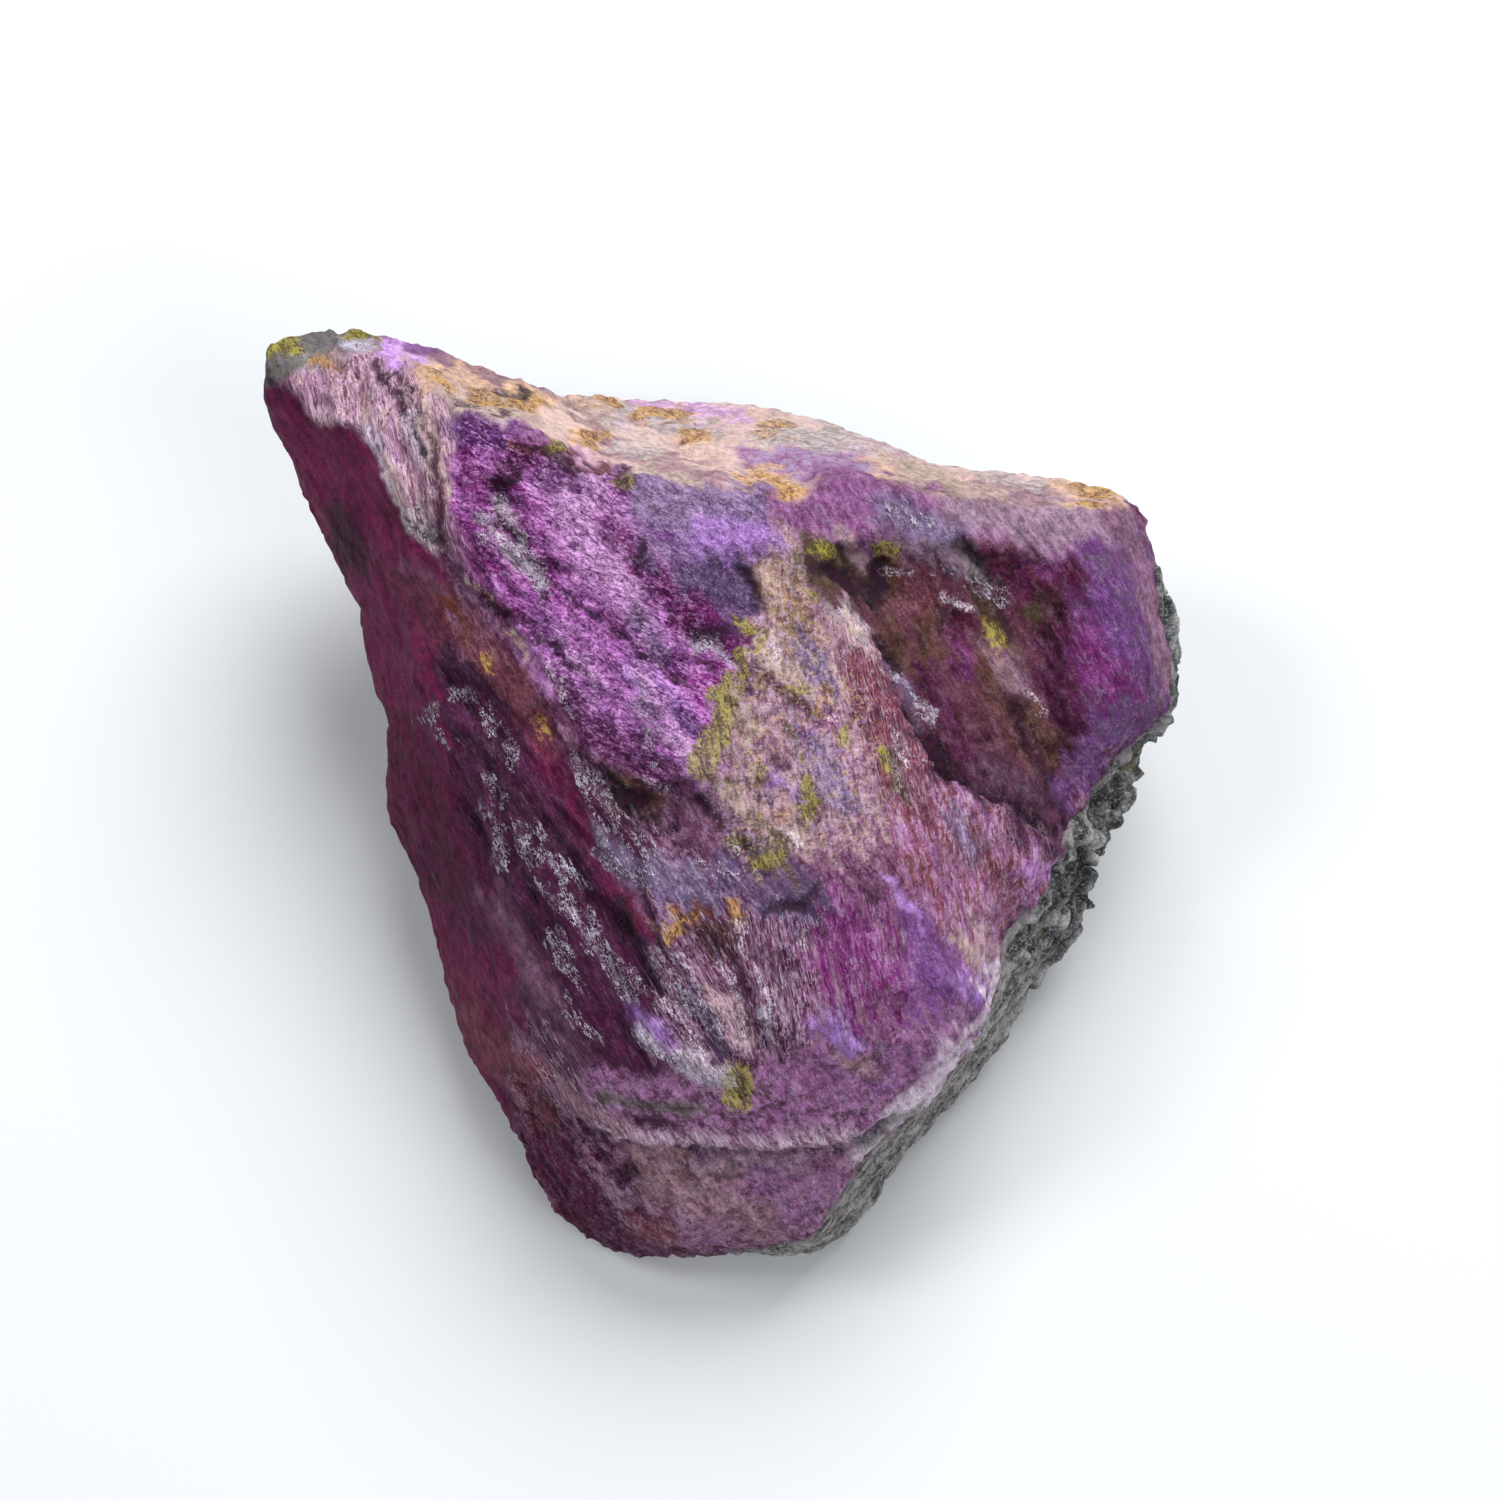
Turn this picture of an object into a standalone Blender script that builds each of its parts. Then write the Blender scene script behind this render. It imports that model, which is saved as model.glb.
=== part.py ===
"""Stichtite on serpentine: a rough gem lump, purple stichtite grown on a crust of dark serpentine.

The lump is one small broken stone, described by the corners and edges where one broken face
meets the next. Every landmark is (across, up, toward), in millimetres, as seen along the line of
sight that looks at the purple side. The faces between them are filled in, roughened along the
grain of the fibres, and the result is parted along the contact between the two minerals.
"""
import math

import bmesh
import bpy
import numpy as np
from mathutils import Vector, noise
from mathutils.geometry import delaunay_2d_cdt

# Driving dimensions, in millimetres and degrees
SIGHT_TILT = 20.0        # how far the line of sight leans from straight down
SIGHT_DISTANCE = 230.0   # from the eye to the middle of the stone
SIGHT_HEIGHT = 17.0      # height of the middle of the sight frame over the rest face
MINERAL_GAP = 0.3        # clearance between the two solids at their contact
WORK_GRAIN = 0.55        # edge length while the faces are roughened
EDGE_WEAR = 0.10         # growth that makes up for what the even grain takes off the edges
STONE_FACETS = 7300      # facets left on the whole lump before it is parted
CONTACT_GRID = 3.0       # spacing of the contact surface's own corners
MM = 0.001

# The rim is the lump's outline seen along the line of sight, clockwise from its thin upper left tip.
RIM = [
    (-30.8, 23.7, -1.8), (-30.5, 25.8, -2.7), (-28.3, 26.1, -3.8), (-25.0, 26.3, -4.8),
    (-21.2, 25.6, -6.0), (-17.5, 24.2, -7.0), (-13.8, 22.8, -8.5), (-11.8, 22.1, -14.0),
    (-9.4, 22.2, -18.0), (-6.2, 21.9, -20.0), (-3.1, 21.7, -21.0), (0.6, 21.6, -21.0),
    (3.8, 20.8, -20.0), (6.2, 19.8, -18.0), (9.1, 18.8, -15.0), (11.6, 17.7, -12.0),
    (15.6, 17.4, -10.0), (18.8, 16.9, -9.0), (21.9, 16.4, -8.0), (23.4, 15.9, -6.0),
    (24.5, 14.5, -4.0), (25.1, 12.8, -3.5), (25.5, 10.9, -4.0), (26.4, 9.1, -5.0),
    (26.8, 6.2, -5.0), (26.9, 3.4, -6.0), (27.0, 1.7, -7.0), (25.1, 1.0, -6.0),
    (24.8, 0.2, -6.5), (25.0, -0.4, -8.0), (24.3, -1.4, -8.5), (23.4, -1.7, -7.5),
    (23.7, -3.9, -8.5), (22.4, -4.9, -7.5), (22.6, -6.2, -9.0), (21.4, -6.8, -8.0),
    (21.7, -8.4, -9.0), (20.8, -10.0, -9.0), (19.9, -12.2, -9.5), (18.0, -14.3, -9.5),
    (16.5, -17.0, -9.0), (15.8, -18.6, -8.5), (13.9, -20.7, -8.0), (11.8, -23.1, -8.0),
    (9.4, -25.6, -7.5), (7.4, -28.6, -7.0), (6.2, -30.4, -6.0), (4.5, -31.2, -5.0),
    (2.2, -31.8, -4.0), (-0.6, -31.6, -3.0), (-3.8, -31.8, -3.5), (-6.9, -31.8, -4.0),
    (-9.4, -31.2, -5.0), (-11.5, -29.7, -5.5), (-12.8, -27.9, -6.0), (-13.9, -26.2, -5.5),
    (-14.2, -24.4, -5.0), (-15.8, -22.0, -5.0), (-17.2, -19.8, -5.5), (-18.4, -17.2, -6.0),
    (-19.1, -14.7, -6.5), (-19.4, -12.2, -7.0), (-20.4, -8.9, -7.5), (-21.6, -6.4, -7.5),
    (-22.7, -4.2, -7.0), (-22.9, -2.2, -6.5), (-22.6, 0.3, -6.5), (-23.2, 2.8, -7.0),
    (-24.1, 5.9, -7.5), (-24.6, 9.1, -7.5), (-25.6, 11.2, -7.5), (-27.0, 14.1, -7.0),
    (-28.3, 16.9, -6.3), (-29.5, 19.4, -5.0), (-30.6, 21.7, -3.4),
]

# Edges, ledges and folds of the purple side. Lines that meet share a landmark.
CAP_EDGE = [(-29.9, 23.1, -1.8), (-28.6, 23.2, -0.5), (-26.2, 24.2, 0.0), (-23.5, 24.9, 0.2)]
TOP_CREST = [
    (-23.5, 24.9, 0.2), (-21.1, 23.2, 2.0), (-19.4, 21.9, 3.5), (-18.4, 21.1, 4.5),
    (-15.6, 20.3, 5.2), (-13.1, 18.8, 5.8), (-11.2, 17.5, 6.2), (-9.4, 17.0, 6.3),
    (-6.9, 16.8, 6.2), (-3.1, 16.5, 5.8), (-0.3, 16.0, 5.2), (1.9, 15.6, 4.6),
    (3.9, 16.1, 4.2), (5.3, 17.0, 3.8), (6.9, 17.2, 3.4), (8.8, 16.8, 3.2),
    (11.2, 16.1, 2.8), (13.1, 15.9, 2.5), (15.6, 15.4, 2.0), (17.5, 14.9, 1.4),
    (20.3, 15.1, 0.2), (23.0, 15.2, -1.8),
]
NEAR_LEDGE = [
    (-20.0, 24.6, -3.8), (-15.6, 23.0, -5.0), (-12.6, 21.6, -6.0), (-9.5, 19.9, -7.0),
    (-6.2, 18.8, -6.0), (-3.1, 18.4, -5.5), (-0.3, 18.8, -5.0), (3.1, 18.9, -4.5),
    (5.6, 18.4, -3.5), (7.6, 17.6, -0.8),
]
FAR_SLOPE = [
    (-8.1, 20.6, -13.0), (-3.1, 20.0, -13.0), (1.9, 20.0, -13.0), (5.6, 19.2, -11.0),
    (9.4, 18.0, -7.0), (13.1, 16.7, -3.5), (18.1, 16.0, -4.0), (21.2, 15.9, -5.0),
]
STREAK_EDGE = [
    (-28.6, 23.2, -0.5), (-27.0, 20.3, 0.2), (-25.0, 20.5, 1.8), (-23.5, 18.9, 2.6),
    (-22.8, 16.4, 3.0), (-21.4, 13.9, 3.2), (-19.3, 12.8, 3.8),
]
MAGENTA_EDGE = [
    (-18.4, 21.1, 4.5), (-18.4, 18.4, 4.6), (-18.6, 15.6, 4.8), (-17.6, 13.3, 5.2),
    (-15.9, 11.2, 5.8), (-14.1, 8.4, 6.5), (-12.8, 5.6, 7.1), (-11.2, 2.4, 7.9),
    (-9.4, -0.3, 8.8), (-6.9, -1.8, 9.6), (-3.8, -1.6, 9.8), (-2.8, 0.3, 9.6),
    (-1.8, 3.1, 9.2), (-0.6, 5.9, 8.2),
]
MAGENTA_SWELL = [(-14.4, 16.9, 6.2), (-10.6, 13.1, 7.6), (-8.1, 8.8, 8.6), (-5.3, 3.8, 9.6)]
VIOLET_HOLLOW = [(-3.1, 11.9, 6.6), (-0.6, 10.6, 4.9), (0.0, 8.6, 5.2), (-1.4, 6.9, 6.6)]
VIOLET_KNOB = [(-0.9, 13.4, 5.9)]
FLANK_SHOULDER = [
    (-19.3, 12.8, 3.8), (-18.4, 10.3, 4.0), (-16.9, 7.5, 4.6), (-15.3, 4.4, 5.3),
    (-13.8, 1.2, 6.2), (-11.9, -1.1, 7.2), (-9.7, -3.0, 8.3), (-7.6, -4.4, 8.8),
    (-6.1, -5.8, 9.1), (-6.6, -8.1, 9.2), (-7.0, -10.3, 9.0), (-6.4, -12.8, 9.1),
    (-6.1, -15.6, 8.9), (-5.5, -18.4, 8.4),
]
FLANK_TURN = [
    (-25.3, 17.5, -1.2), (-23.2, 13.1, 0.2), (-21.9, 9.4, 1.2), (-20.3, 5.0, 2.2),
    (-19.1, 0.6, 3.0), (-17.8, -3.8, 3.5), (-16.4, -8.1, 3.9), (-15.6, -12.2, 4.0),
    (-14.9, -15.9, 3.8), (-13.8, -19.1, 3.4),
]
FLANK_FOOT = [
    (-27.8, 19.4, -2.8), (-25.9, 15.0, -3.2), (-24.1, 10.6, -3.8), (-22.6, 6.2, -3.8),
    (-21.8, 1.9, -3.2), (-21.4, -2.5, -3.0), (-19.9, -7.2, -2.8), (-18.4, -11.6, -2.4),
    (-17.6, -15.3, -2.0), (-15.9, -19.1, -1.4), (-14.4, -21.6, -1.0),
]
GLITTER_RIB = [(-14.4, -3.8, 6.6), (-12.6, -7.5, 7.4), (-10.6, -11.2, 8.0), (-8.6, -14.7, 8.1)]
GLITTER_GROOVE = [(-11.6, -3.8, 7.2), (-9.9, -7.2, 7.8), (-8.4, -10.6, 8.2)]
DARK_RECESS = [(-5.9, -3.4, 7.6), (-3.1, -3.5, 8.2), (-1.2, -4.4, 9.0)]
LILAC_SLOPE = [(-3.8, -7.2, 9.6), (-0.9, -9.7, 9.9)]
BEVEL_TOP = [
    (-12.6, -15.8, 6.0), (-11.8, -18.3, 6.0), (-9.9, -20.8, 6.1), (-7.8, -22.1, 6.3),
    (-4.9, -22.2, 6.9), (-1.9, -22.5, 7.2),
]
LIP = [
    (-14.4, -19.4, 2.6), (-12.4, -21.4, 3.4), (-9.9, -23.4, 4.3), (-6.9, -24.4, 5.2),
    (-4.2, -24.9, 5.7), (-1.2, -24.9, 5.9), (2.5, -24.8, 5.9), (5.6, -24.8, 5.6),
    (7.8, -23.9, 5.0), (9.7, -22.2, 5.2),
]
UNDER_LIP = [
    (-11.9, -25.0, 0.6), (-8.8, -25.9, 3.0), (-4.4, -26.4, 4.4), (0.6, -26.4, 4.6),
    (4.4, -26.1, 4.2),
]
FOOT_FACE = [(-10.0, -28.4, -0.8), (-6.9, -29.1, 1.6), (-2.5, -29.5, 2.4), (1.9, -29.4, 2.2)]
FIBRE_EDGE = [(-5.3, -11.2, 9.7), (-1.9, -10.5, 10.0), (1.6, -9.7, 10.4), (5.0, -8.9, 10.6)]
FIBRE_TROUGH = [(-3.8, -14.7, 8.9), (-2.2, -17.5, 8.5), (-0.9, -19.4, 8.2)]
FIBRE_FLAT = [(1.2, -14.4, 9.6), (2.5, -18.1, 9.2), (0.6, -21.9, 8.0)]
CORE_DOME = [(6.2, -11.2, 10.6), (7.5, -14.7, 10.3), (6.2, -18.8, 9.2), (6.2, -21.9, 7.6)]
RIGHT_RIDGE = [
    (6.6, -3.1, 9.6), (7.6, -6.6, 10.2), (9.4, -9.4, 10.0), (11.0, -11.8, 9.5),
    (12.5, -14.1, 8.8), (13.6, -16.1, 7.9), (12.5, -18.8, 6.8), (11.0, -20.8, 6.0),
    (9.7, -22.2, 5.2),
]
COLUMN_LEFT = [
    (1.9, 15.6, 4.6), (2.1, 11.9, 5.2), (1.8, 8.4, 6.2), (0.8, 5.6, 7.6), (-0.1, 2.8, 8.5),
    (-0.9, -0.6, 9.2),
]
COLUMN_MIDDLE = [(3.1, 6.9, 6.6), (3.4, 3.1, 8.0), (3.1, -0.9, 9.3), (2.5, -5.0, 10.0)]
COLUMN_RIGHT = [
    (4.1, 13.8, 4.4), (4.9, 9.9, 5.0), (6.0, 7.4, 5.8), (7.2, 4.8, 6.7), (8.5, 2.1, 7.5),
    (9.6, -0.2, 8.1), (11.0, -2.2, 8.2), (13.4, -2.9, 7.0), (15.8, -3.9, 5.4),
    (18.1, -5.4, 2.9),
]
HOLLOW_FOOT = [
    (6.1, 11.5, 1.8), (7.4, 9.0, 2.0), (8.5, 6.5, 2.4), (9.8, 3.8, 2.7), (11.0, 1.1, 3.0),
    (12.4, -1.0, 3.4), (14.7, -1.9, 2.8), (16.9, -2.9, 1.8), (19.1, -4.4, -0.4),
]
HOLLOW_FLOOR = [
    (9.7, 9.4, 0.9), (13.1, 6.2, 0.9), (15.9, 6.9, 0.2), (18.4, 6.2, -0.3), (18.8, 2.8, 0.0),
    (19.1, -0.9, -0.6),
]
HOLLOW_RIB = [(10.9, 6.9, 2.0), (13.1, 3.1, 2.3), (15.6, 0.1, 2.0)]
SHELF_EDGE = [
    (4.1, 13.8, 4.4), (6.2, 13.4, 4.0), (8.4, 13.4, 3.6), (11.4, 12.8, 3.2),
    (14.4, 13.1, 2.9), (17.5, 12.8, 2.2), (19.8, 11.8, 1.8),
]
SHELF_FOOT = [(8.1, 12.0, 1.6), (11.6, 11.1, 1.6), (14.7, 10.5, 1.0), (18.0, 10.1, 0.4)]
BULGE_EDGE = [
    (19.8, 11.8, 1.8), (20.5, 9.4, 1.7), (20.0, 6.6, 1.6), (20.2, 3.1, 1.3), (20.6, 0.3, 0.2),
]
BULGE_CROWN = [(22.6, 12.2, 1.2), (23.4, 8.8, 1.5), (23.6, 4.7, 1.0), (22.9, 1.6, -0.6)]
BULGE_SIDE = [(24.5, 10.6, -1.2), (25.2, 6.2, -1.4), (25.1, 2.8, -3.0)]
PINK_SLOPE = [(10.3, -5.0, 8.9), (13.1, -6.2, 7.6), (15.9, -7.0, 5.2), (17.5, -8.1, 3.4)]
PINK_FOOT = [(12.2, -9.7, 8.3), (14.1, -10.9, 6.4), (14.1, -13.4, 5.8)]
CONTACT = [
    (25.3, 10.8, -3.0), (26.4, 6.2, -3.8), (26.2, 3.0, -4.8), (25.0, 1.2, -5.4),
    (22.6, -0.9, -3.9), (21.4, -2.2, -3.2), (20.3, -3.9, -1.9), (19.5, -5.9, -0.2),
    (18.6, -8.1, 0.3), (17.5, -10.1, 0.6), (15.9, -11.2, 0.8), (15.5, -13.4, 1.2),
    (15.1, -15.6, 1.8), (14.1, -18.1, 2.3), (12.5, -20.1, 2.4), (10.9, -22.2, 2.5),
    (8.9, -23.8, 2.3), (7.4, -25.0, 2.0), (6.2, -26.9, 2.1), (5.0, -28.8, 1.8),
    (3.9, -30.5, 0.2),
]
CRUST_FACE = [
    (23.5, -2.5, -5.5), (21.8, -4.9, -4.8), (20.9, -7.5, -4.2), (19.5, -9.7, -3.8),
    (18.1, -12.2, -3.8), (16.4, -15.0, -3.4), (14.7, -17.6, -3.2), (12.8, -20.6, -2.8),
    (10.3, -23.4, -2.2), (8.4, -25.6, -2.4), (7.0, -27.8, -2.6), (5.6, -29.9, -2.8),
]
FRONT_LINES = [
    CAP_EDGE, TOP_CREST, NEAR_LEDGE, FAR_SLOPE, STREAK_EDGE, MAGENTA_EDGE, MAGENTA_SWELL,
    VIOLET_HOLLOW, VIOLET_KNOB, FLANK_SHOULDER, FLANK_TURN, FLANK_FOOT, GLITTER_RIB,
    GLITTER_GROOVE, DARK_RECESS, LILAC_SLOPE, BEVEL_TOP, LIP, UNDER_LIP, FOOT_FACE,
    FIBRE_EDGE, FIBRE_TROUGH, FIBRE_FLAT, CORE_DOME, RIGHT_RIDGE, COLUMN_LEFT, COLUMN_MIDDLE,
    COLUMN_RIGHT, HOLLOW_FOOT, HOLLOW_FLOOR, HOLLOW_RIB, SHELF_EDGE, SHELF_FOOT, BULGE_EDGE,
    BULGE_CROWN, BULGE_SIDE, PINK_SLOPE, PINK_FOOT, CONTACT[4:], CRUST_FACE,
]

# The back is broken into a few large faces round the flat spot that the lump rests on.
BACK_SHOULDER = [
    (-26.2, 21.9, -8.5), (-21.9, 16.9, -15.0), (-20.6, 10.6, -16.6), (-19.6, 5.0, -17.0),
    (-18.6, -0.6, -15.6), (-17.0, -6.9, -13.6), (-15.2, -13.1, -11.6), (-12.5, -19.4, -9.6),
    (-9.4, -25.0, -7.2), (-5.6, -28.1, -6.4), (-0.6, -28.1, -6.0), (4.4, -25.4, -8.0),
    (8.6, -19.4, -10.2), (12.0, -14.4, -11.8), (15.0, -9.4, -12.6), (17.6, -4.4, -12.8),
    (19.8, 0.6, -13.2), (22.5, 3.1, -12.0), (23.1, 8.1, -11.5), (21.2, 11.9, -12.0),
    (16.9, 13.1, -16.0), (11.2, 15.0, -20.0), (5.6, 17.5, -23.6), (-0.6, 19.2, -24.4),
    (-6.9, 19.0, -23.6), (-11.9, 18.2, -20.6), (-16.9, 19.2, -16.0),
]
BACK_BREAK = [
    (-11.9, 8.1, -20.8), (-3.1, 11.9, -22.6), (4.4, 9.0, -21.6), (9.4, 3.0, -18.6),
    (8.6, -3.6, -16.4), (4.6, -11.0, -13.4), (-1.2, -15.8, -11.6), (-7.2, -12.0, -13.0),
    (-11.6, -3.0, -16.4),
]
BACK_BELLY = [(-1.9, -2.1, -18.9), (-4.4, 4.4, -21.2), (2.5, 4.0, -20.9), (1.2, -8.6, -16.2)]

# Heights of the contact between the minerals, away from where it shows: (across, up, height).
CONTACT_UNDER = [
    (-32.0, 28.0, 6.0), (-12.0, 30.0, 3.6), (8.0, 26.0, 4.6), (22.0, 21.0, 8.4),
    (31.0, 9.0, 18.6), (31.0, -6.0, 14.6), (26.0, -18.0, 17.0), (18.0, -30.0, 15.5),
    (6.0, -38.0, 8.5), (-8.0, -34.0, 1.6), (-20.0, -26.0, 1.8), (-26.0, -6.0, 3.0),
    (-30.0, 12.0, 4.6), (0.0, 12.0, 3.4), (-10.0, 0.0, 3.2), (0.0, -14.0, 3.0),
    (10.0, 2.0, 4.6), (16.0, 8.0, 5.0), (8.0, -12.0, 5.6), (-4.0, -24.0, 2.0),
]


def in_row_frame(across, up, toward):
    """A landmark in the part's own frame: X right, Y away, Z up from the rest face."""
    shrink = (SIGHT_DISTANCE - toward) / SIGHT_DISTANCE
    tilt = math.radians(SIGHT_TILT)
    u = across * shrink
    v = up * shrink
    y = v * math.cos(tilt) - toward * math.sin(tilt)
    z = v * math.sin(tilt) + toward * math.cos(tilt) + SIGHT_HEIGHT
    return (u, y, z)


def along_sight(points):
    """The inverse of in_row_frame for an array of points: across, up and toward."""
    tilt = math.radians(SIGHT_TILT)
    height = points[:, 2] - SIGHT_HEIGHT
    toward = height * math.cos(tilt) - points[:, 1] * math.sin(tilt)
    up = points[:, 1] * math.cos(tilt) + height * math.sin(tilt)
    grow = SIGHT_DISTANCE / (SIGHT_DISTANCE - toward)
    return np.column_stack([points[:, 0] * grow, up * grow, toward])


def inside_rim(x, y):
    """Whether a place in the sight plane is inside the rim, by counting crossings."""
    inside = False
    for (x0, y0, _), (x1, y1, _) in zip(RIM, RIM[1:] + RIM[:1]):
        if (y0 > y) != (y1 > y) and x < x0 + (y - y0) * (x1 - x0) / (y1 - y0):
            inside = not inside
    return inside


def faces_between(lines, closed_lines):
    """Triangles that fill the rim and keep every given line as an edge: (corners, triangles)."""
    corners = []
    edges = []
    for line, closed in [(RIM, True)] + [(c, True) for c in closed_lines] + [(o, False) for o in lines]:
        first = len(corners)
        corners += line
        edges += [(first + i, first + i + 1) for i in range(len(line) - 1)]
        if closed:
            edges.append((first + len(line) - 1, first))
    flat = [Vector(c[:2]) for c in corners]
    plan, _, faces, sources, _, _ = delaunay_2d_cdt(flat, edges, [], 0, 1e-4)
    placed = []
    for place, source in zip(plan, sources):
        if source:
            placed.append(corners[source[0]])
            continue
        ends = [(corners[a], corners[b]) for a, b in edges]
        toward = min((gap_and_depth(place, a, b) for a, b in ends), key=lambda found: found[0])[1]
        placed.append((place.x, place.y, toward))
    kept = []
    for face in faces:
        x = sum(plan[i].x for i in face) / 3
        y = sum(plan[i].y for i in face) / 3
        if inside_rim(x, y):
            kept.append(tuple(face))
    return placed, kept


def gap_and_depth(place, a, b):
    """How far a place is from the line a-b, and the depth of that line beside it."""
    run = Vector((b[0] - a[0], b[1] - a[1]))
    share = max(0.0, min(1.0, (place - Vector(a[:2])).dot(run) / max(run.length_squared, 1e-9)))
    foot = Vector(a[:2]) + run * share
    return (place - foot).length, a[2] + (b[2] - a[2]) * share


def mesh_object(name, points, faces):
    mesh = bpy.data.meshes.new(name)
    mesh.from_pydata([tuple(p) for p in points], [], [tuple(f) for f in faces])
    mesh.update()
    obj = bpy.data.objects.new(name, mesh)
    bpy.context.scene.collection.objects.link(obj)
    return obj


def stone_cage():
    """The closed cage of broken faces, purple side and back, joined along the rim."""
    front, front_faces = faces_between(FRONT_LINES, [])
    back, back_faces = faces_between([[p] for p in BACK_BELLY], [BACK_SHOULDER, BACK_BREAK])
    points = [in_row_frame(*p) for p in front + back]
    faces = [tuple(f) for f in front_faces]
    faces += [tuple(len(front) + i for i in reversed(f)) for f in back_faces]
    cage = mesh_object("cage", points, faces)
    bm = bmesh.new()
    bm.from_mesh(cage.data)
    bmesh.ops.remove_doubles(bm, verts=bm.verts, dist=1e-3)
    bmesh.ops.recalc_face_normals(bm, faces=bm.faces)
    bm.to_mesh(cage.data)
    bm.free()
    return cage


def settled(obj):
    """The object with its modifiers made part of its mesh."""
    graph = bpy.context.evaluated_depsgraph_get()
    mesh = bpy.data.meshes.new_from_object(obj.evaluated_get(graph))
    obj.modifiers.clear()
    obj.data = mesh
    return obj


def refined(cage):
    """Even small faces in place of the cage's long ones, with its edges slightly worn."""
    remesh = cage.modifiers.new("even grain", "REMESH")
    remesh.mode = "VOXEL"
    remesh.voxel_size = WORK_GRAIN
    remesh.adaptivity = 0.0
    wear = cage.modifiers.new("worn edges", "SMOOTH")
    wear.factor = 0.5
    wear.iterations = 1
    return settled(cage)


def read_points(obj):
    flat = np.empty(len(obj.data.vertices) * 3)
    obj.data.vertices.foreach_get("co", flat)
    return flat.reshape(-1, 3)


def read_normals(obj):
    flat = np.empty(len(obj.data.vertices) * 3)
    obj.data.vertices.foreach_get("normal", flat)
    return flat.reshape(-1, 3)


def distance_to_line(places, line, closed=False):
    """Shortest distance from each place in the sight plane to a line of landmarks."""
    ends = list(zip(line, line[1:]))
    if closed:
        ends.append((line[-1], line[0]))
    nearest = np.full(len(places), 1e9)
    for a, b in ends:
        start = np.array(a[:2])
        run = np.array(b[:2]) - start
        share = ((places - start) @ run / max(run @ run, 1e-9)).clip(0, 1)
        foot = start + share[:, None] * run
        nearest = np.minimum(nearest, np.linalg.norm(places - foot, axis=1))
    return nearest


def inside_patch(places, centre, half_size, turn):
    """1 inside an ellipse on the sight plane, fading to 0 outside it."""
    angle = math.radians(turn)
    away = places - np.array(centre)
    along = (away[:, 0] * math.cos(angle) + away[:, 1] * math.sin(angle)) / half_size[0]
    across = (away[:, 1] * math.cos(angle) - away[:, 0] * math.sin(angle)) / half_size[1]
    return (1.6 - 1.6 * (along**2 + across**2) ** 0.5).clip(0, 1)


def fibre_ledges(sight, run_angle, length, width, seed):
    """Ridged noise drawn out along the fibres, from -1 to 1."""
    angle = math.radians(run_angle)
    along = sight[:, 0] * math.cos(angle) + sight[:, 1] * math.sin(angle)
    across = sight[:, 1] * math.cos(angle) - sight[:, 0] * math.sin(angle)
    found = [
        1.0 - 2.6 * abs(noise.noise(Vector((a / length, c / width, t / (3 * width) + seed))))
        for a, c, t in zip(along, across, sight[:, 2])
    ]
    return np.array(found).clip(-1, 1)


def lumps(points, size, seed):
    """Soft rounded swellings, from -1 to 1."""
    found = [noise.fractal(Vector(p) / size + Vector((seed, 0, 0)), 0.8, 2.1, 3) for p in points]
    return np.array(found).clip(-1, 1)


def blocks(points, size, seed):
    """Broken blocks with sunk joints between them, from -1 in a joint to 1 on a block."""
    found = []
    for p in points:
        distances, _ = noise.voronoi(Vector(p) / size + Vector((seed, seed, 0)))
        found.append(min(1.0, 3.2 * (distances[1] - distances[0])) * 2 - 1)
    return np.array(found)


def relief(stone):
    """The height of the stone's own texture over its broken faces, in millimetres."""
    points = read_points(stone)
    sight = along_sight(points)
    plane = sight[:, :2]
    seen = (read_normals(stone)[:, 2] > -0.25).astype(float)
    rim_gap = distance_to_line(plane, RIM, closed=True)
    calm_rim = (0.15 + rim_gap / 3.5).clip(0, 1)
    magenta = inside_patch(plane, (-9.5, 8.5), (13.5, 8.0), -52)
    dark_flank = inside_patch(plane, (-11.5, -8.5), (14.0, 6.5), -58)
    fibres = inside_patch(plane, (-0.5, -15.0), (8.5, 7.5), -60)
    hollow = inside_patch(plane, (14.0, 5.0), (9.5, 7.5), -50)
    streaks = inside_patch(plane, (-22.5, 19.5), (8.0, 4.0), -60)
    crust_gap = distance_to_line(plane, CRUST_FACE)
    crust = (1.3 - crust_gap / 2.6).clip(0, 1) * (sight[:, 2] < 1.0)
    back = 1.0 - seen
    height = 0.30 * lumps(points, 5.5, 3.0)
    height += 0.18 * lumps(points, 2.2, 8.0)
    height += 0.30 * magenta * fibre_ledges(sight, -30, 4.5, 1.6, 11.0)
    height += 0.48 * dark_flank * fibre_ledges(sight, -58, 7.0, 1.8, 23.0)
    height += 0.38 * fibres * fibre_ledges(sight, -62, 6.0, 1.5, 37.0)
    height += 0.38 * hollow * fibre_ledges(sight, -56, 5.0, 1.7, 41.0)
    height += 0.30 * streaks * fibre_ledges(sight, -60, 6.0, 1.4, 53.0)
    height += back * (0.55 * lumps(points, 8.0, 17.0) + 0.45 * blocks(points, 6.0, 29.0))
    jagged = (1.0 + (sight[:, 1] + 9.0) / 9.0).clip(0.3, 1)
    return height * calm_rim + EDGE_WEAR + 0.62 * crust * jagged * blocks(points, 2.6, 5.0)


def roughened(stone):
    points = read_points(stone) + read_normals(stone) * relief(stone)[:, None]
    stone.data.vertices.foreach_set("co", points.ravel())
    stone.data.update()
    return stone


def faceted(stone):
    """The roughened lump brought down to flat facets that keep its edges and ledges."""
    bm = bmesh.new()
    bm.from_mesh(stone.data)
    bmesh.ops.triangulate(bm, faces=bm.faces)
    triangles = len(bm.faces)
    bm.to_mesh(stone.data)
    bm.free()
    fewer = stone.modifiers.new("facets", "DECIMATE")
    fewer.ratio = STONE_FACETS / triangles
    return settled(stone)


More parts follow.
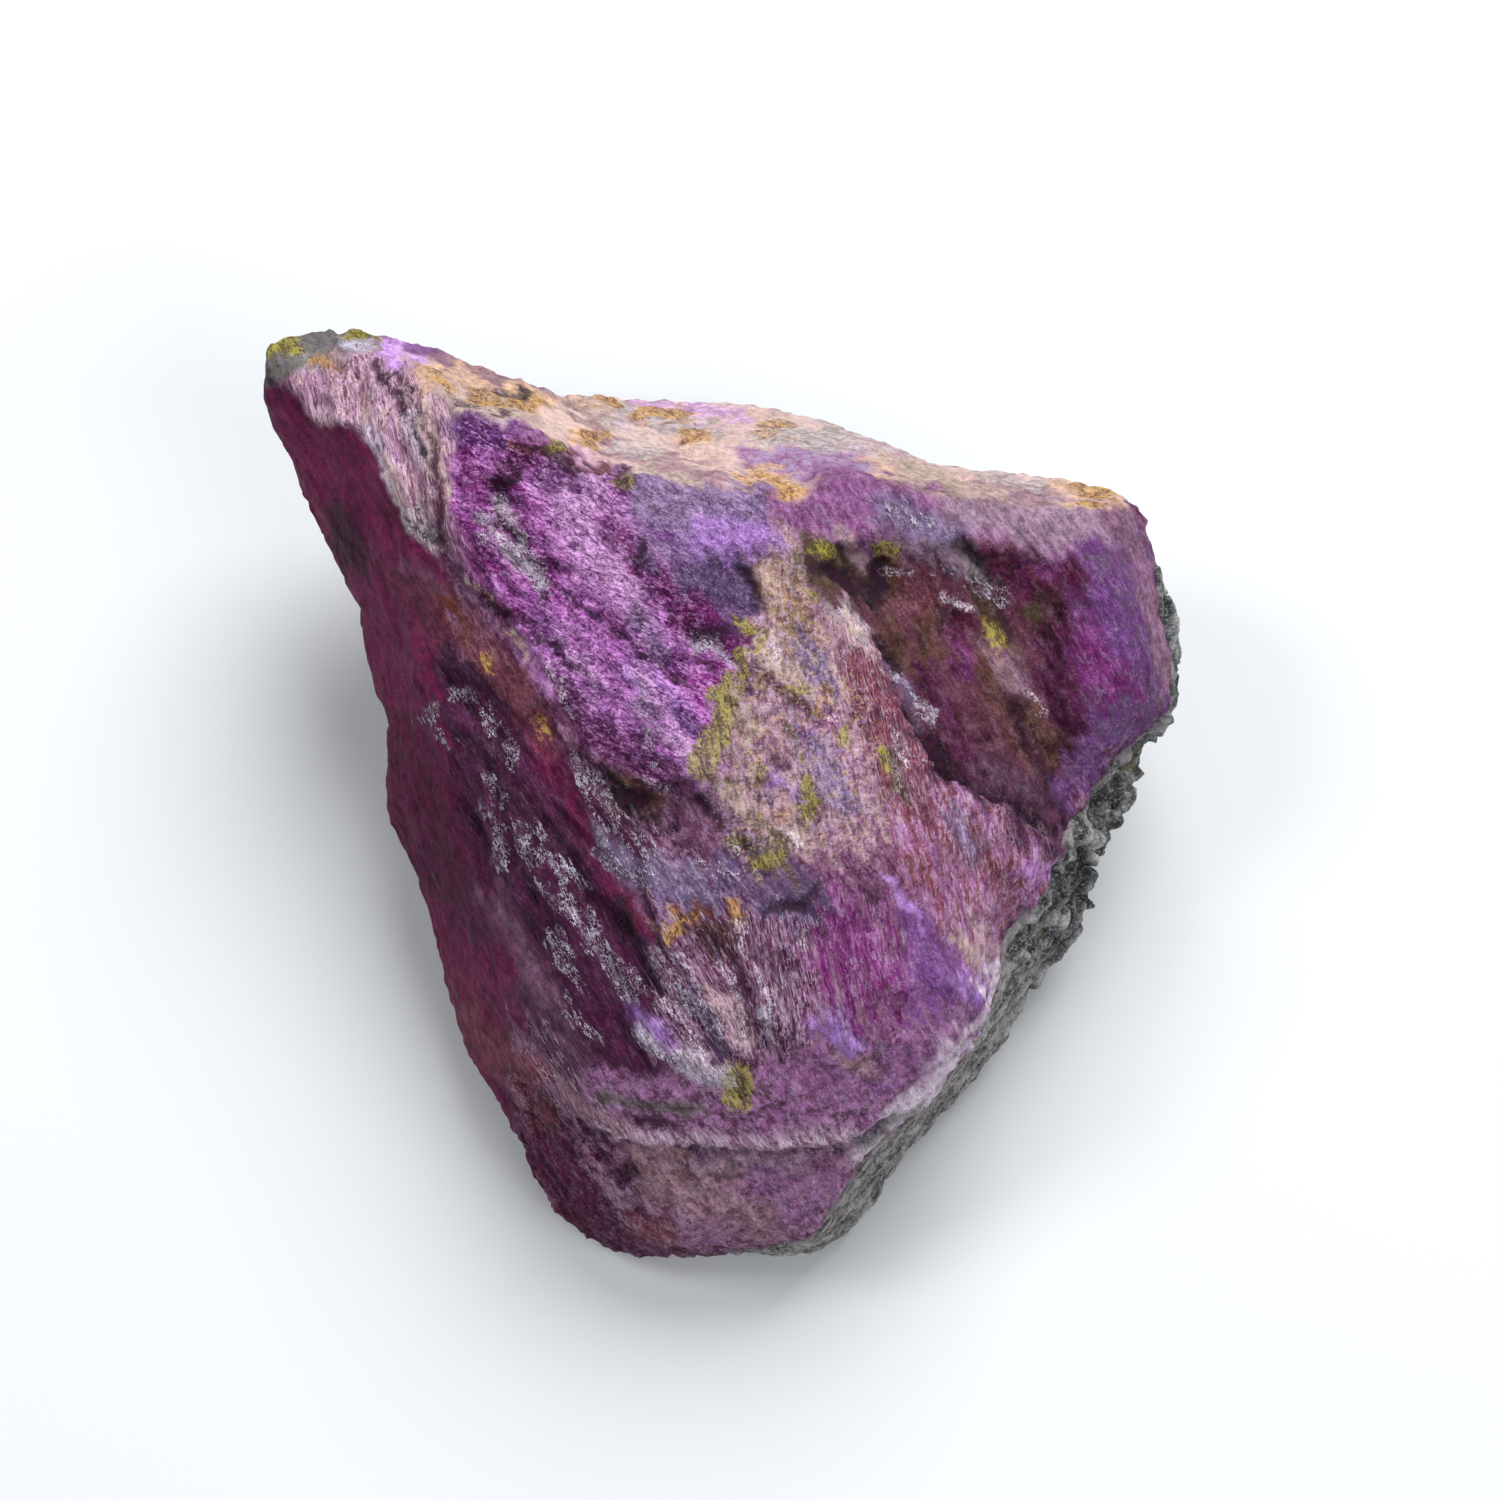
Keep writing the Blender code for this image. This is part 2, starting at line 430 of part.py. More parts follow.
def contact_height(x, y):
    """Height of the contact surface over the rest face: a thin plate through its landmarks."""
    known = [in_row_frame(*p) for p in CONTACT]
    for across, up, height in CONTACT_UNDER:
        known.append((across, up * 0.95, height))
    known = np.array(known)

    def plate(distance):
        return distance**2 * np.log(np.maximum(distance, 1e-6))

    spread = np.linalg.norm(known[:, None, :2] - known[None, :, :2], axis=2)
    count = len(known)
    system = np.zeros((count + 3, count + 3))
    system[:count, :count] = plate(spread)
    system[:count, count] = 1
    system[:count, count + 1 : count + 3] = known[:, :2]
    system[count:, :count] = system[:count, count:].T
    weights = np.linalg.solve(system, np.append(known[:, 2], [0, 0, 0]))
    away = np.hypot(x[..., None] - known[:, 0], y[..., None] - known[:, 1])
    smooth = plate(away) @ weights[:count]
    return smooth + weights[count] + weights[count + 1] * x + weights[count + 2] * y


def block_under_contact(name, bottom, lift):
    """A solid from a flat bottom up to the contact surface, raised or lowered by lift."""
    xs = np.arange(-34.0, 34.1, CONTACT_GRID)
    ys = np.arange(-38.0, 38.1, CONTACT_GRID)
    grid_x, grid_y = np.meshgrid(xs, ys)
    tops = np.maximum(contact_height(grid_x, grid_y), 1.4) + lift
    wide = len(xs)
    tall = len(ys)
    count = wide * tall
    points = [(x, y, z) for x, y, z in zip(grid_x.ravel(), grid_y.ravel(), tops.ravel())]
    points += [(x, y, bottom) for x, y, _ in points]
    faces = []
    for row in range(tall - 1):
        for col in range(wide - 1):
            a = row * wide + col
            b = a + 1
            c = a + wide + 1
            d = a + wide
            faces += [(a, b, c), (a, c, d)]
            faces += [(count + a, count + c, count + b), (count + a, count + d, count + c)]
    border = [col for col in range(wide)]
    border += [row * wide + wide - 1 for row in range(1, tall)]
    border += [(tall - 1) * wide + col for col in range(wide - 2, -1, -1)]
    border += [row * wide for row in range(tall - 2, 0, -1)]
    for a, b in zip(border, border[1:] + border[:1]):
        faces += [(a, count + a, count + b), (a, count + b, b)]
    return mesh_object(name, points, faces)


def largest_body(obj):
    """Drops the crumbs that a cut leaves, and keeps the one whole body."""
    bm = bmesh.new()
    bm.from_mesh(obj.data)
    bmesh.ops.remove_doubles(bm, verts=bm.verts, dist=0.002)
    bmesh.ops.dissolve_degenerate(bm, edges=bm.edges, dist=0.002)
    bmesh.ops.triangulate(bm, faces=bm.faces)
    left = set(bm.verts)
    bodies = []
    while left:
        body = set()
        todo = [left.pop()]
        while todo:
            vert = todo.pop()
            body.add(vert)
            for edge in vert.link_edges:
                other = edge.other_vert(vert)
                if other in left:
                    left.remove(other)
                    todo.append(other)
        bodies.append(body)
    bodies.sort(key=len)
    for body in bodies[:-1]:
        bmesh.ops.delete(bm, geom=list(body), context="VERTS")
    bm.to_mesh(obj.data)
    bm.free()
    return obj


def parted(name, stone, operation, cutter):
    """A copy of the lump cut by the block under the contact surface."""
    piece = bpy.data.objects.new(name, stone.data.copy())
    bpy.context.scene.collection.objects.link(piece)
    cut = piece.modifiers.new("contact", "BOOLEAN")
    cut.operation = operation
    cut.solver = "EXACT"
    cut.object = cutter
    return largest_body(settled(piece))


def mineral(name, colour, roughness):
    material = bpy.data.materials.new(name)
    material.use_nodes = True
    shader = material.node_tree.nodes["Principled BSDF"]
    shader.inputs["Base Color"].default_value = (*colour, 1.0)
    shader.inputs["Roughness"].default_value = roughness
    return material


def finish_piece(piece, material):
    """To metres, with its own material; broken stone keeps its flat facets."""
    piece.data.vertices.foreach_set("co", (read_points(piece) * MM).ravel())
    piece.data.materials.clear()
    piece.data.materials.append(material)
    for face in piece.data.polygons:
        face.use_smooth = False
    piece.data.update()


def main():
    for obj in list(bpy.data.objects):
        bpy.data.objects.remove(obj)
    lump = faceted(roughened(refined(stone_cage())))
    upper_cut = block_under_contact("stichtite_cutter", -20.0, MINERAL_GAP / 2)
    lower_cut = block_under_contact("serpentine_cutter", 0.0, -MINERAL_GAP / 2)
    stichtite = parted("stichtite", lump, "DIFFERENCE", upper_cut)
    serpentine = parted("serpentine", lump, "INTERSECT", lower_cut)
    finish_piece(stichtite, mineral("stichtite purple", (0.20, 0.04, 0.20), 0.45))
    finish_piece(serpentine, mineral("serpentine dark green", (0.045, 0.06, 0.055), 0.6))
    for helper in (lump, upper_cut, lower_cut):
        bpy.data.objects.remove(helper)


main()
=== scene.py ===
# %% [markdown]
# # Stichtite on serpentine
# A rough lump of purple stichtite that still sits on its crust of dark serpentine. It was broken
# out with a hammer, so it is all broken faces, ledges and fibre bundles, with a waxy to pearly
# shine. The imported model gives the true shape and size, and everything here rides on it.

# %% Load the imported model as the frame
import math

import bmesh
import bpy
import numpy as np
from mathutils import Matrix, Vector, noise
from mathutils.bvhtree import BVHTree


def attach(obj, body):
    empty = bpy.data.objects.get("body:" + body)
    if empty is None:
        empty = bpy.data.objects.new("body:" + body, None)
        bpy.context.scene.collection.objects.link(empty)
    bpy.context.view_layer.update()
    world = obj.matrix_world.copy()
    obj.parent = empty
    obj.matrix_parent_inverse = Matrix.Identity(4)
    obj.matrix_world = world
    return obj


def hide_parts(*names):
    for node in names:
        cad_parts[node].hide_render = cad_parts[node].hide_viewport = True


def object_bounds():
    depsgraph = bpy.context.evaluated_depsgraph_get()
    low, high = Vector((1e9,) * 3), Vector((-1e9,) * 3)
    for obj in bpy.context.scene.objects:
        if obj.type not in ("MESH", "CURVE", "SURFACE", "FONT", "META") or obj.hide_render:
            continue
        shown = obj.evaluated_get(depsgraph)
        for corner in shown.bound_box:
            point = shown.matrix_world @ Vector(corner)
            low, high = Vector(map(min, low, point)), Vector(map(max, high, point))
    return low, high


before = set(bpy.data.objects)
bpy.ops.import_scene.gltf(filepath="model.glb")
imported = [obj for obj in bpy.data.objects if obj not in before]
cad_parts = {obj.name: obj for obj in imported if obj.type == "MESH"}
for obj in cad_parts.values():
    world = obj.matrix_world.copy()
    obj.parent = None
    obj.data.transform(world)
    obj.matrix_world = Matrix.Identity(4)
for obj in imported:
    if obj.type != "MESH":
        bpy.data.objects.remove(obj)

CAD_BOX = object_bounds()
print("packed model from", tuple(CAD_BOX[0]), "to", tuple(CAD_BOX[1]))

# %% [markdown]
# ## How the stone is looked at
# The purple side is read like a map: across and up, in millimetres, as seen along the line of
# sight that leans a little from straight down. Every patch of colour below is placed on that map.
# A texture painted on an unwrapped mesh would do the same job, but a map in millimetres needs no
# image and stays readable.

# %% The sight map
MM = 0.001
SIGHT_TILT = math.radians(20.0)
SIGHT_DISTANCE = 230.0
SIGHT_HEIGHT = 17.0
ACROSS = np.array([1.0, 0.0, 0.0])
UP = np.array([0.0, math.cos(SIGHT_TILT), math.sin(SIGHT_TILT)])
TOWARD = np.array([0.0, -math.sin(SIGHT_TILT), math.cos(SIGHT_TILT)])


def on_sight_map(points):
    """Across, up and toward of points given in millimetres, with the eye's perspective undone."""
    from_middle = points - np.array([0.0, 0.0, SIGHT_HEIGHT])
    toward = from_middle @ TOWARD
    grow = SIGHT_DISTANCE / (SIGHT_DISTANCE - toward)
    return np.column_stack([from_middle @ ACROSS * grow, from_middle @ UP * grow, toward])


# %% [markdown]
# ## Measuring the patches
# A patch has one of two forms. A field is a closed outline that fades over a given width. A vein is
# a line with a half width, for seams, cracks and rows of splinters. Both give 1 inside and 0
# outside. A brush in Texture Paint would make them too, but numbers can be corrected one by one.

# %% Fields and veins
def smooth_step(value, low, high):
    share = ((value - low) / (high - low)).clip(0, 1)
    return share * share * (3 - 2 * share)


def gap_to_line(places, line, closed=False):
    """Distance from each place on the map to a line of corners."""
    ends = list(zip(line, line[1:]))
    if closed:
        ends.append((line[-1], line[0]))
    if not ends:
        return np.linalg.norm(places - np.array(line[0]), axis=1)
    nearest = np.full(len(places), 1e9)
    for a, b in ends:
        start = np.array(a)
        run = np.array(b) - start
        share = ((places - start) @ run / max(run @ run, 1e-9)).clip(0, 1)
        away = places - start - share[:, None] * run
        nearest = np.minimum(nearest, np.hypot(away[:, 0], away[:, 1]))
    return nearest


def side_of_line(places, line):
    """Distance to a line of corners, positive on the left of its run, and 0 to 1 for how far it is off the ends."""
    nearest = np.full(len(places), 1e9)
    signed = np.zeros(len(places))
    off_end = np.zeros(len(places))
    for number, (a, b) in enumerate(zip(line, line[1:])):
        start = np.array(a)
        run = np.array(b) - start
        raw = (places - start) @ run / (run @ run)
        away = places - start - raw.clip(0, 1)[:, None] * run
        gap = np.hypot(away[:, 0], away[:, 1])
        left = np.where(run[0] * away[:, 1] - run[1] * away[:, 0] >= 0, 1.0, -1.0)
        closer = gap < nearest
        nearest = np.where(closer, gap, nearest)
        signed = np.where(closer, gap * left, signed)
        past = np.zeros(len(places))
        if number == 0:
            past = np.maximum(past, -raw)
        if number == len(line) - 2:
            past = np.maximum(past, raw - 1)
        off_end = np.where(closer, (past * np.hypot(*run)).clip(0, 1), off_end)
    return signed, off_end


def field(places, outline, fade):
    """1 inside an outline, 0 outside it, over a fade in millimetres."""
    inside = np.zeros(len(places), bool)
    for (x0, y0), (x1, y1) in zip(outline, outline[1:] + outline[:1]):
        if y0 == y1:
            continue
        crosses = (y0 > places[:, 1]) != (y1 > places[:, 1])
        at = x0 + (places[:, 1] - y0) * (x1 - x0) / (y1 - y0)
        inside ^= crosses & (places[:, 0] < at)
    gap = gap_to_line(places, outline, closed=True)
    return smooth_step(np.where(inside, gap, -gap), -fade, fade)


def vein(places, line, half_width, fade=0.4):
    """1 on a line, 0 beyond its half width and fade."""
    return 1 - smooth_step(gap_to_line(places, line), half_width - fade / 2, half_width + fade)


# %% [markdown]
# ## The broken faces
# These outlines follow the faces that can be told apart on the stone: the magenta face, the dark
# glittering flank, the dusty pink column and so on. They steer the relief as well as the colour.

# %% Outlines of the faces
FACES = {
    "flank": [(-30.5, 22.6), (-28.1, 22.9), (-27.0, 20.3), (-24.9, 20.4), (-23.4, 18.8), (-22.6, 15.9), (-21.6, 14.1), (-19.4, 12.4),
              (-18.4, 8.8), (-19.2, 5.6), (-18.4, 3.1), (-17.5, -1.9), (-16.2, -6.9), (-14.4, -11.9), (-12.8, -15.6), (-11.9, -18.8),
              (-13.8, -20.9), (-15.6, -23.8), (-20.0, -19.4), (-23.8, -6.2), (-26.2, 9.4), (-31.9, 21.9)],
    "dark_flank": [(-20.0, 3.8), (-18.4, 5.6), (-16.2, 5.9), (-14.4, 3.8), (-11.9, 0.0), (-9.4, -2.5), (-6.2, -5.0),
                   (-6.9, -9.4), (-5.6, -13.1), (-3.8, -16.2), (-3.1, -19.4), (-6.9, -21.6), (-10.6, -19.1), (-13.1, -15.6),
                   (-15.6, -10.6), (-17.5, -5.6)],
    "magenta": [(-18.2, 20.9), (-15.6, 20.3), (-11.9, 18.8), (-8.1, 17.0), (-6.9, 15.6), (-6.9, 12.8), (-3.1, 9.4), (-0.9, 6.9),
                (-0.5, 5.3), (-1.9, 3.8), (-3.1, 0.0), (-4.4, -1.8), (-6.9, -1.6), (-9.4, -0.3), (-11.2, 2.2), (-12.8, 5.6),
                (-15.6, 9.4), (-17.5, 12.2), (-18.6, 15.6), (-18.4, 18.4)],
    "lilac": [(-8.0, 17.1), (-3.1, 16.5), (1.2, 16.2), (1.6, 11.9), (0.6, 9.4), (-1.9, 6.2), (-3.8, 8.8), (-6.2, 11.2),
              (-7.4, 14.4)],
    "streaks": [(-29.1, 23.6), (-26.2, 24.9), (-23.2, 25.3), (-21.9, 24.4), (-18.4, 20.9), (-18.6, 15.6), (-18.1, 12.8), (-19.4, 12.5),
                (-21.6, 14.1), (-22.6, 16.2), (-23.4, 18.9), (-25.0, 20.4), (-26.9, 20.3), (-28.1, 21.9)],
    "top": [(-22.0, 25.9), (-18.8, 24.9), (-12.8, 22.8), (-9.4, 22.6), (0.6, 22.2), (9.4, 19.4), (18.8, 17.5), (23.8, 16.2),
            (23.4, 14.9), (19.4, 15.1), (15.6, 15.5), (13.1, 16.1), (6.9, 17.5), (5.3, 17.1), (3.1, 16.0), (-0.6, 16.2),
            (-6.9, 17.0), (-11.9, 18.8), (-14.4, 20.3), (-18.2, 21.1), (-20.0, 23.2)],
    "shelf": [(1.9, 15.6), (3.1, 16.0), (6.2, 17.2), (13.1, 15.9), (15.6, 15.3), (23.4, 15.1), (25.0, 11.9),
              (21.9, 11.9), (17.5, 12.5), (11.2, 12.6), (6.2, 12.8), (3.1, 12.8)],
    "column": [(1.4, 15.6), (3.4, 11.9), (5.0, 6.9), (7.5, 3.1), (9.4, -1.9), (8.8, -6.2), (-0.6, -7.6), (-3.1, -3.1),
               (-3.8, -1.6), (-1.8, 3.1), (-0.6, 6.2), (0.9, 9.4)],
    "red_band": [(4.7, 8.4), (6.9, 7.5), (9.1, 3.1), (11.6, -1.9), (11.9, -6.2), (9.7, -7.8), (7.5, -1.2), (5.8, 3.8)],
    "hollow": [(3.4, 12.8), (8.1, 13.2), (17.5, 12.8), (19.9, 11.2), (20.5, 3.1), (19.1, -5.3), (15.6, -3.2),
               (11.9, -1.8), (9.7, 1.6), (8.1, 5.3), (5.9, 8.6), (3.4, 9.4)],
    "bulge": [(19.5, 11.9), (23.4, 15.3), (25.9, 11.9), (27.5, 6.2), (26.9, 0.9), (24.7, 0.0), (20.6, 0.1),
              (19.9, 6.9)],
    "pink_slope": [(9.7, -2.2), (15.6, -3.6), (19.4, -5.5), (18.8, -9.4), (15.6, -11.4), (14.7, -15.0), (12.5, -13.1),
                   (9.7, -7.8), (8.8, -4.4)],
    "fibre_face": [(-5.9, -10.9), (-0.6, -10.1), (5.0, -9.4), (5.0, -15.6), (3.1, -19.4), (-2.5, -20.6), (-6.2, -19.4)],
    "core": [(4.1, -9.4), (8.8, -8.8), (11.2, -12.5), (10.0, -17.5), (6.9, -18.8), (3.8, -16.9), (3.1, -12.5)],
    "violet_patch": [(9.7, -11.2), (12.5, -11.9), (14.7, -14.7), (12.5, -17.5), (9.7, -18.1), (9.1, -14.4)],
    "pale_rim": [(14.7, -14.7), (16.2, -12.5), (15.9, -18.1), (11.6, -22.6), (6.9, -26.2), (5.9, -24.7), (9.4, -21.8),
                 (12.8, -17.5)],
    "dome_low": [(-10.0, -19.4), (-6.2, -20.1), (-1.9, -20.9), (3.1, -18.8), (6.9, -18.6), (9.4, -17.8), (12.2, -16.8), (14.7, -14.7),
                 (14.1, -18.1), (10.0, -22.2), (6.2, -24.4), (-3.1, -24.4), (-8.1, -23.8), (-11.2, -21.6)],
    "pink_band": [(-15.3, -16.9), (-13.1, -16.2), (-11.2, -19.4), (-9.4, -21.6), (-6.9, -23.8), (-9.4, -23.9), (-11.9, -22.4),
                  (-14.4, -19.5)],
    "lip": [(-9.5, -23.0), (-6.2, -23.8), (0.6, -24.0), (6.2, -23.5), (7.8, -23.9), (6.2, -25.1), (-3.1, -25.1), (-8.8, -24.5)],
    "foot": [(-15.3, -19.4), (-13.1, -21.2), (-8.8, -24.7), (-3.1, -25.1), (7.5, -25.0), (6.9, -31.2), (-3.1, -33.1), (-10.0, -32.5), (-14.4, -27.5)],
    "lilac_slope": [(-6.9, -6.8), (-0.6, -6.9), (0.1, -9.1), (-3.1, -10.9), (-5.6, -11.4), (-6.9, -9.1)],
    "recess": [(-10.3, -1.6), (-6.9, -1.8), (-3.1, -1.9), (-1.2, -6.2), (-3.8, -7.2), (-6.2, -5.3), (-8.8, -3.1)],
    "cap": [(-30.9, 26.6), (-23.1, 26.6), (-23.2, 25.3), (-25.6, 24.5), (-28.1, 23.6), (-29.5, 22.8), (-30.9, 23.1)],
    "tip_violet": [(-23.6, 26.2), (-20.3, 25.8), (-20.3, 24.2), (-22.0, 23.6), (-23.4, 24.5)],
    "crest_purple": [(-0.9, 18.6), (5.0, 18.9), (7.2, 18.0), (6.9, 17.1), (4.4, 17.1), (-0.3, 17.4)],
}
print(len(FACES), "faces outlined")

# %% [markdown]
# ## Palette
# Real stichtite runs from magenta to lilac, and dulls to pink, cream and orange where fibrous
# minerals mix in. Naming the colours once keeps the stone in one family, as a painter's palette
# would. Colours are linear, as Blender's shaders take them.

# %% Palette
PALETTE = {
    "black": (0.012, 0.010, 0.014),
    "plum black": (0.040, 0.008, 0.028),
    "plum": (0.080, 0.012, 0.054),
    "wine": (0.170, 0.012, 0.068),
    "maroon": (0.085, 0.024, 0.044),
    "burgundy": (0.090, 0.008, 0.042),
    "dark rose": (0.118, 0.034, 0.060),
    "magenta": (0.200, 0.026, 0.170),
    "fuchsia": (0.250, 0.036, 0.215),
    "heather": (0.310, 0.130, 0.290),
    "deep heather": (0.255, 0.085, 0.240),
    "orchid": (0.520, 0.190, 0.560),
    "pale orchid": (0.680, 0.400, 0.710),
    "deep violet": (0.125, 0.036, 0.160),
    "violet": (0.175, 0.062, 0.235),
    "bright violet": (0.480, 0.250, 0.680),
    "dusk": (0.110, 0.060, 0.125),
    "indigo": (0.105, 0.068, 0.150),
    "lilac": (0.330, 0.240, 0.410),
    "slate lilac": (0.185, 0.135, 0.245),
    "dark mauve": (0.100, 0.040, 0.078),
    "mauve": (0.210, 0.095, 0.165),
    "dusty mauve": (0.300, 0.150, 0.235),
    "pale mauve": (0.330, 0.220, 0.300),
    "dusty pink": (0.340, 0.190, 0.230),
    "ashen pink": (0.370, 0.240, 0.265),
    "rose": (0.200, 0.052, 0.076),
    "pale pink": (0.540, 0.370, 0.390),
    "shell": (0.700, 0.495, 0.450),
    "frost": (0.560, 0.450, 0.540),
    "cream": (0.520, 0.410, 0.310),
    "tan": (0.300, 0.190, 0.100),
    "sand": (0.540, 0.410, 0.360),
    "peach": (0.740, 0.460, 0.290),
    "ochre": (0.520, 0.290, 0.080),
    "brown": (0.100, 0.045, 0.030),
    "rust": (0.170, 0.045, 0.020),
    "olive": (0.270, 0.230, 0.035),
    "moss": (0.330, 0.290, 0.045),
    "olive brown": (0.085, 0.065, 0.030),
    "grey green": (0.110, 0.110, 0.085),
    "slate grey": (0.150, 0.130, 0.155),
    "ash": (0.260, 0.250, 0.240),
    "pale ash": (0.520, 0.450, 0.450),
    "ice": (0.560, 0.520, 0.640),
    "pearl": (0.760, 0.670, 0.790),
}
print(len(PALETTE), "colours mixed")

# %% [markdown]
# ## How each face is finished
# Every face mottles between two colours. Fibres break into ledges that run one way, waxy parts
# break smooth, and the column is granular. So each face also has four shares: ledges, grain,
# glitter, and how far its colours follow the fibres. The faces are laid in this order, and a later
# one covers an earlier one.

# %% Two colours, ledges, grain, glitter and streaks per face
FINISHES = {
    # the flank's wine and burgundy are partly the stone's own colour and partly painted shade, keeping the left side
    # dark as if in shadow
    "flank": ("wine", "burgundy", 0.15, 0.15, 0.05, 0.35),
    "top": ("shell", "sand", 0.15, 0.25, 0.05, 0.10),
    "shelf": ("heather", "mauve", 0.25, 0.35, 0.35, 0.35),
    "streaks": ("pale pink", "dusty mauve", 1.00, 0.35, 0.45, 1.00),
    "cap": ("grey green", "slate grey", 0.10, 0.70, 0.25, 0.20),
    "tip_violet": ("bright violet", "pale orchid", 0.10, 0.30, 0.20, 0.20),
    "crest_purple": ("heather", "lilac", 0.10, 0.30, 0.20, 0.40),
    "hollow": ("dark rose", "maroon", 0.60, 0.90, 0.24, 0.30),
    "bulge": ("deep violet", "dusk", 0.15, 0.45, 0.30, 0.20),
    "dark_flank": ("plum", "plum black", 0.90, 0.30, 0.10, 0.50),
    "magenta": ("orchid", "fuchsia", 0.90, 0.60, 0.80, 0.60),
    "lilac": ("slate lilac", "violet", 0.40, 0.60, 0.55, 0.40),
    # the recess mottles to plum black as painted shadow under the magenta face's lower edge
    "recess": ("mauve", "plum black", 0.40, 0.80, 0.35, 0.40),
    "lilac_slope": ("slate lilac", "plum", 0.50, 0.60, 0.50, 0.50),
    "column": ("ashen pink", "mauve", 0.35, 1.00, 0.60, 0.30),
    "red_band": ("rose", "dark rose", 0.70, 0.40, 0.20, 1.00),
    "pink_slope": ("heather", "rose", 0.45, 0.60, 0.70, 0.60),
    "fibre_face": ("mauve", "plum", 0.90, 0.60, 0.55, 1.00),
    "core": ("magenta", "mauve", 0.35, 0.80, 0.50, 0.60),
    "violet_patch": ("violet", "heather", 0.15, 0.30, 0.30, 0.25),
    "foot": ("dusty mauve", "plum", 0.40, 0.70, 0.45, 0.30),
    "dome_low": ("heather", "dark mauve", 0.15, 0.50, 0.40, 0.30),
    "pink_band": ("mauve", "dark mauve", 0.50, 0.40, 0.20, 0.90),
    "pale_rim": ("pearl", "frost", 0.30, 0.60, 0.30, 0.50),
    "lip": ("frost", "mauve", 0.30, 0.40, 0.30, 0.80),
}
PLAIN_SHARES = (0.35, 0.50, 0.30, 0.50)
print(len(FINISHES), "finishes named")
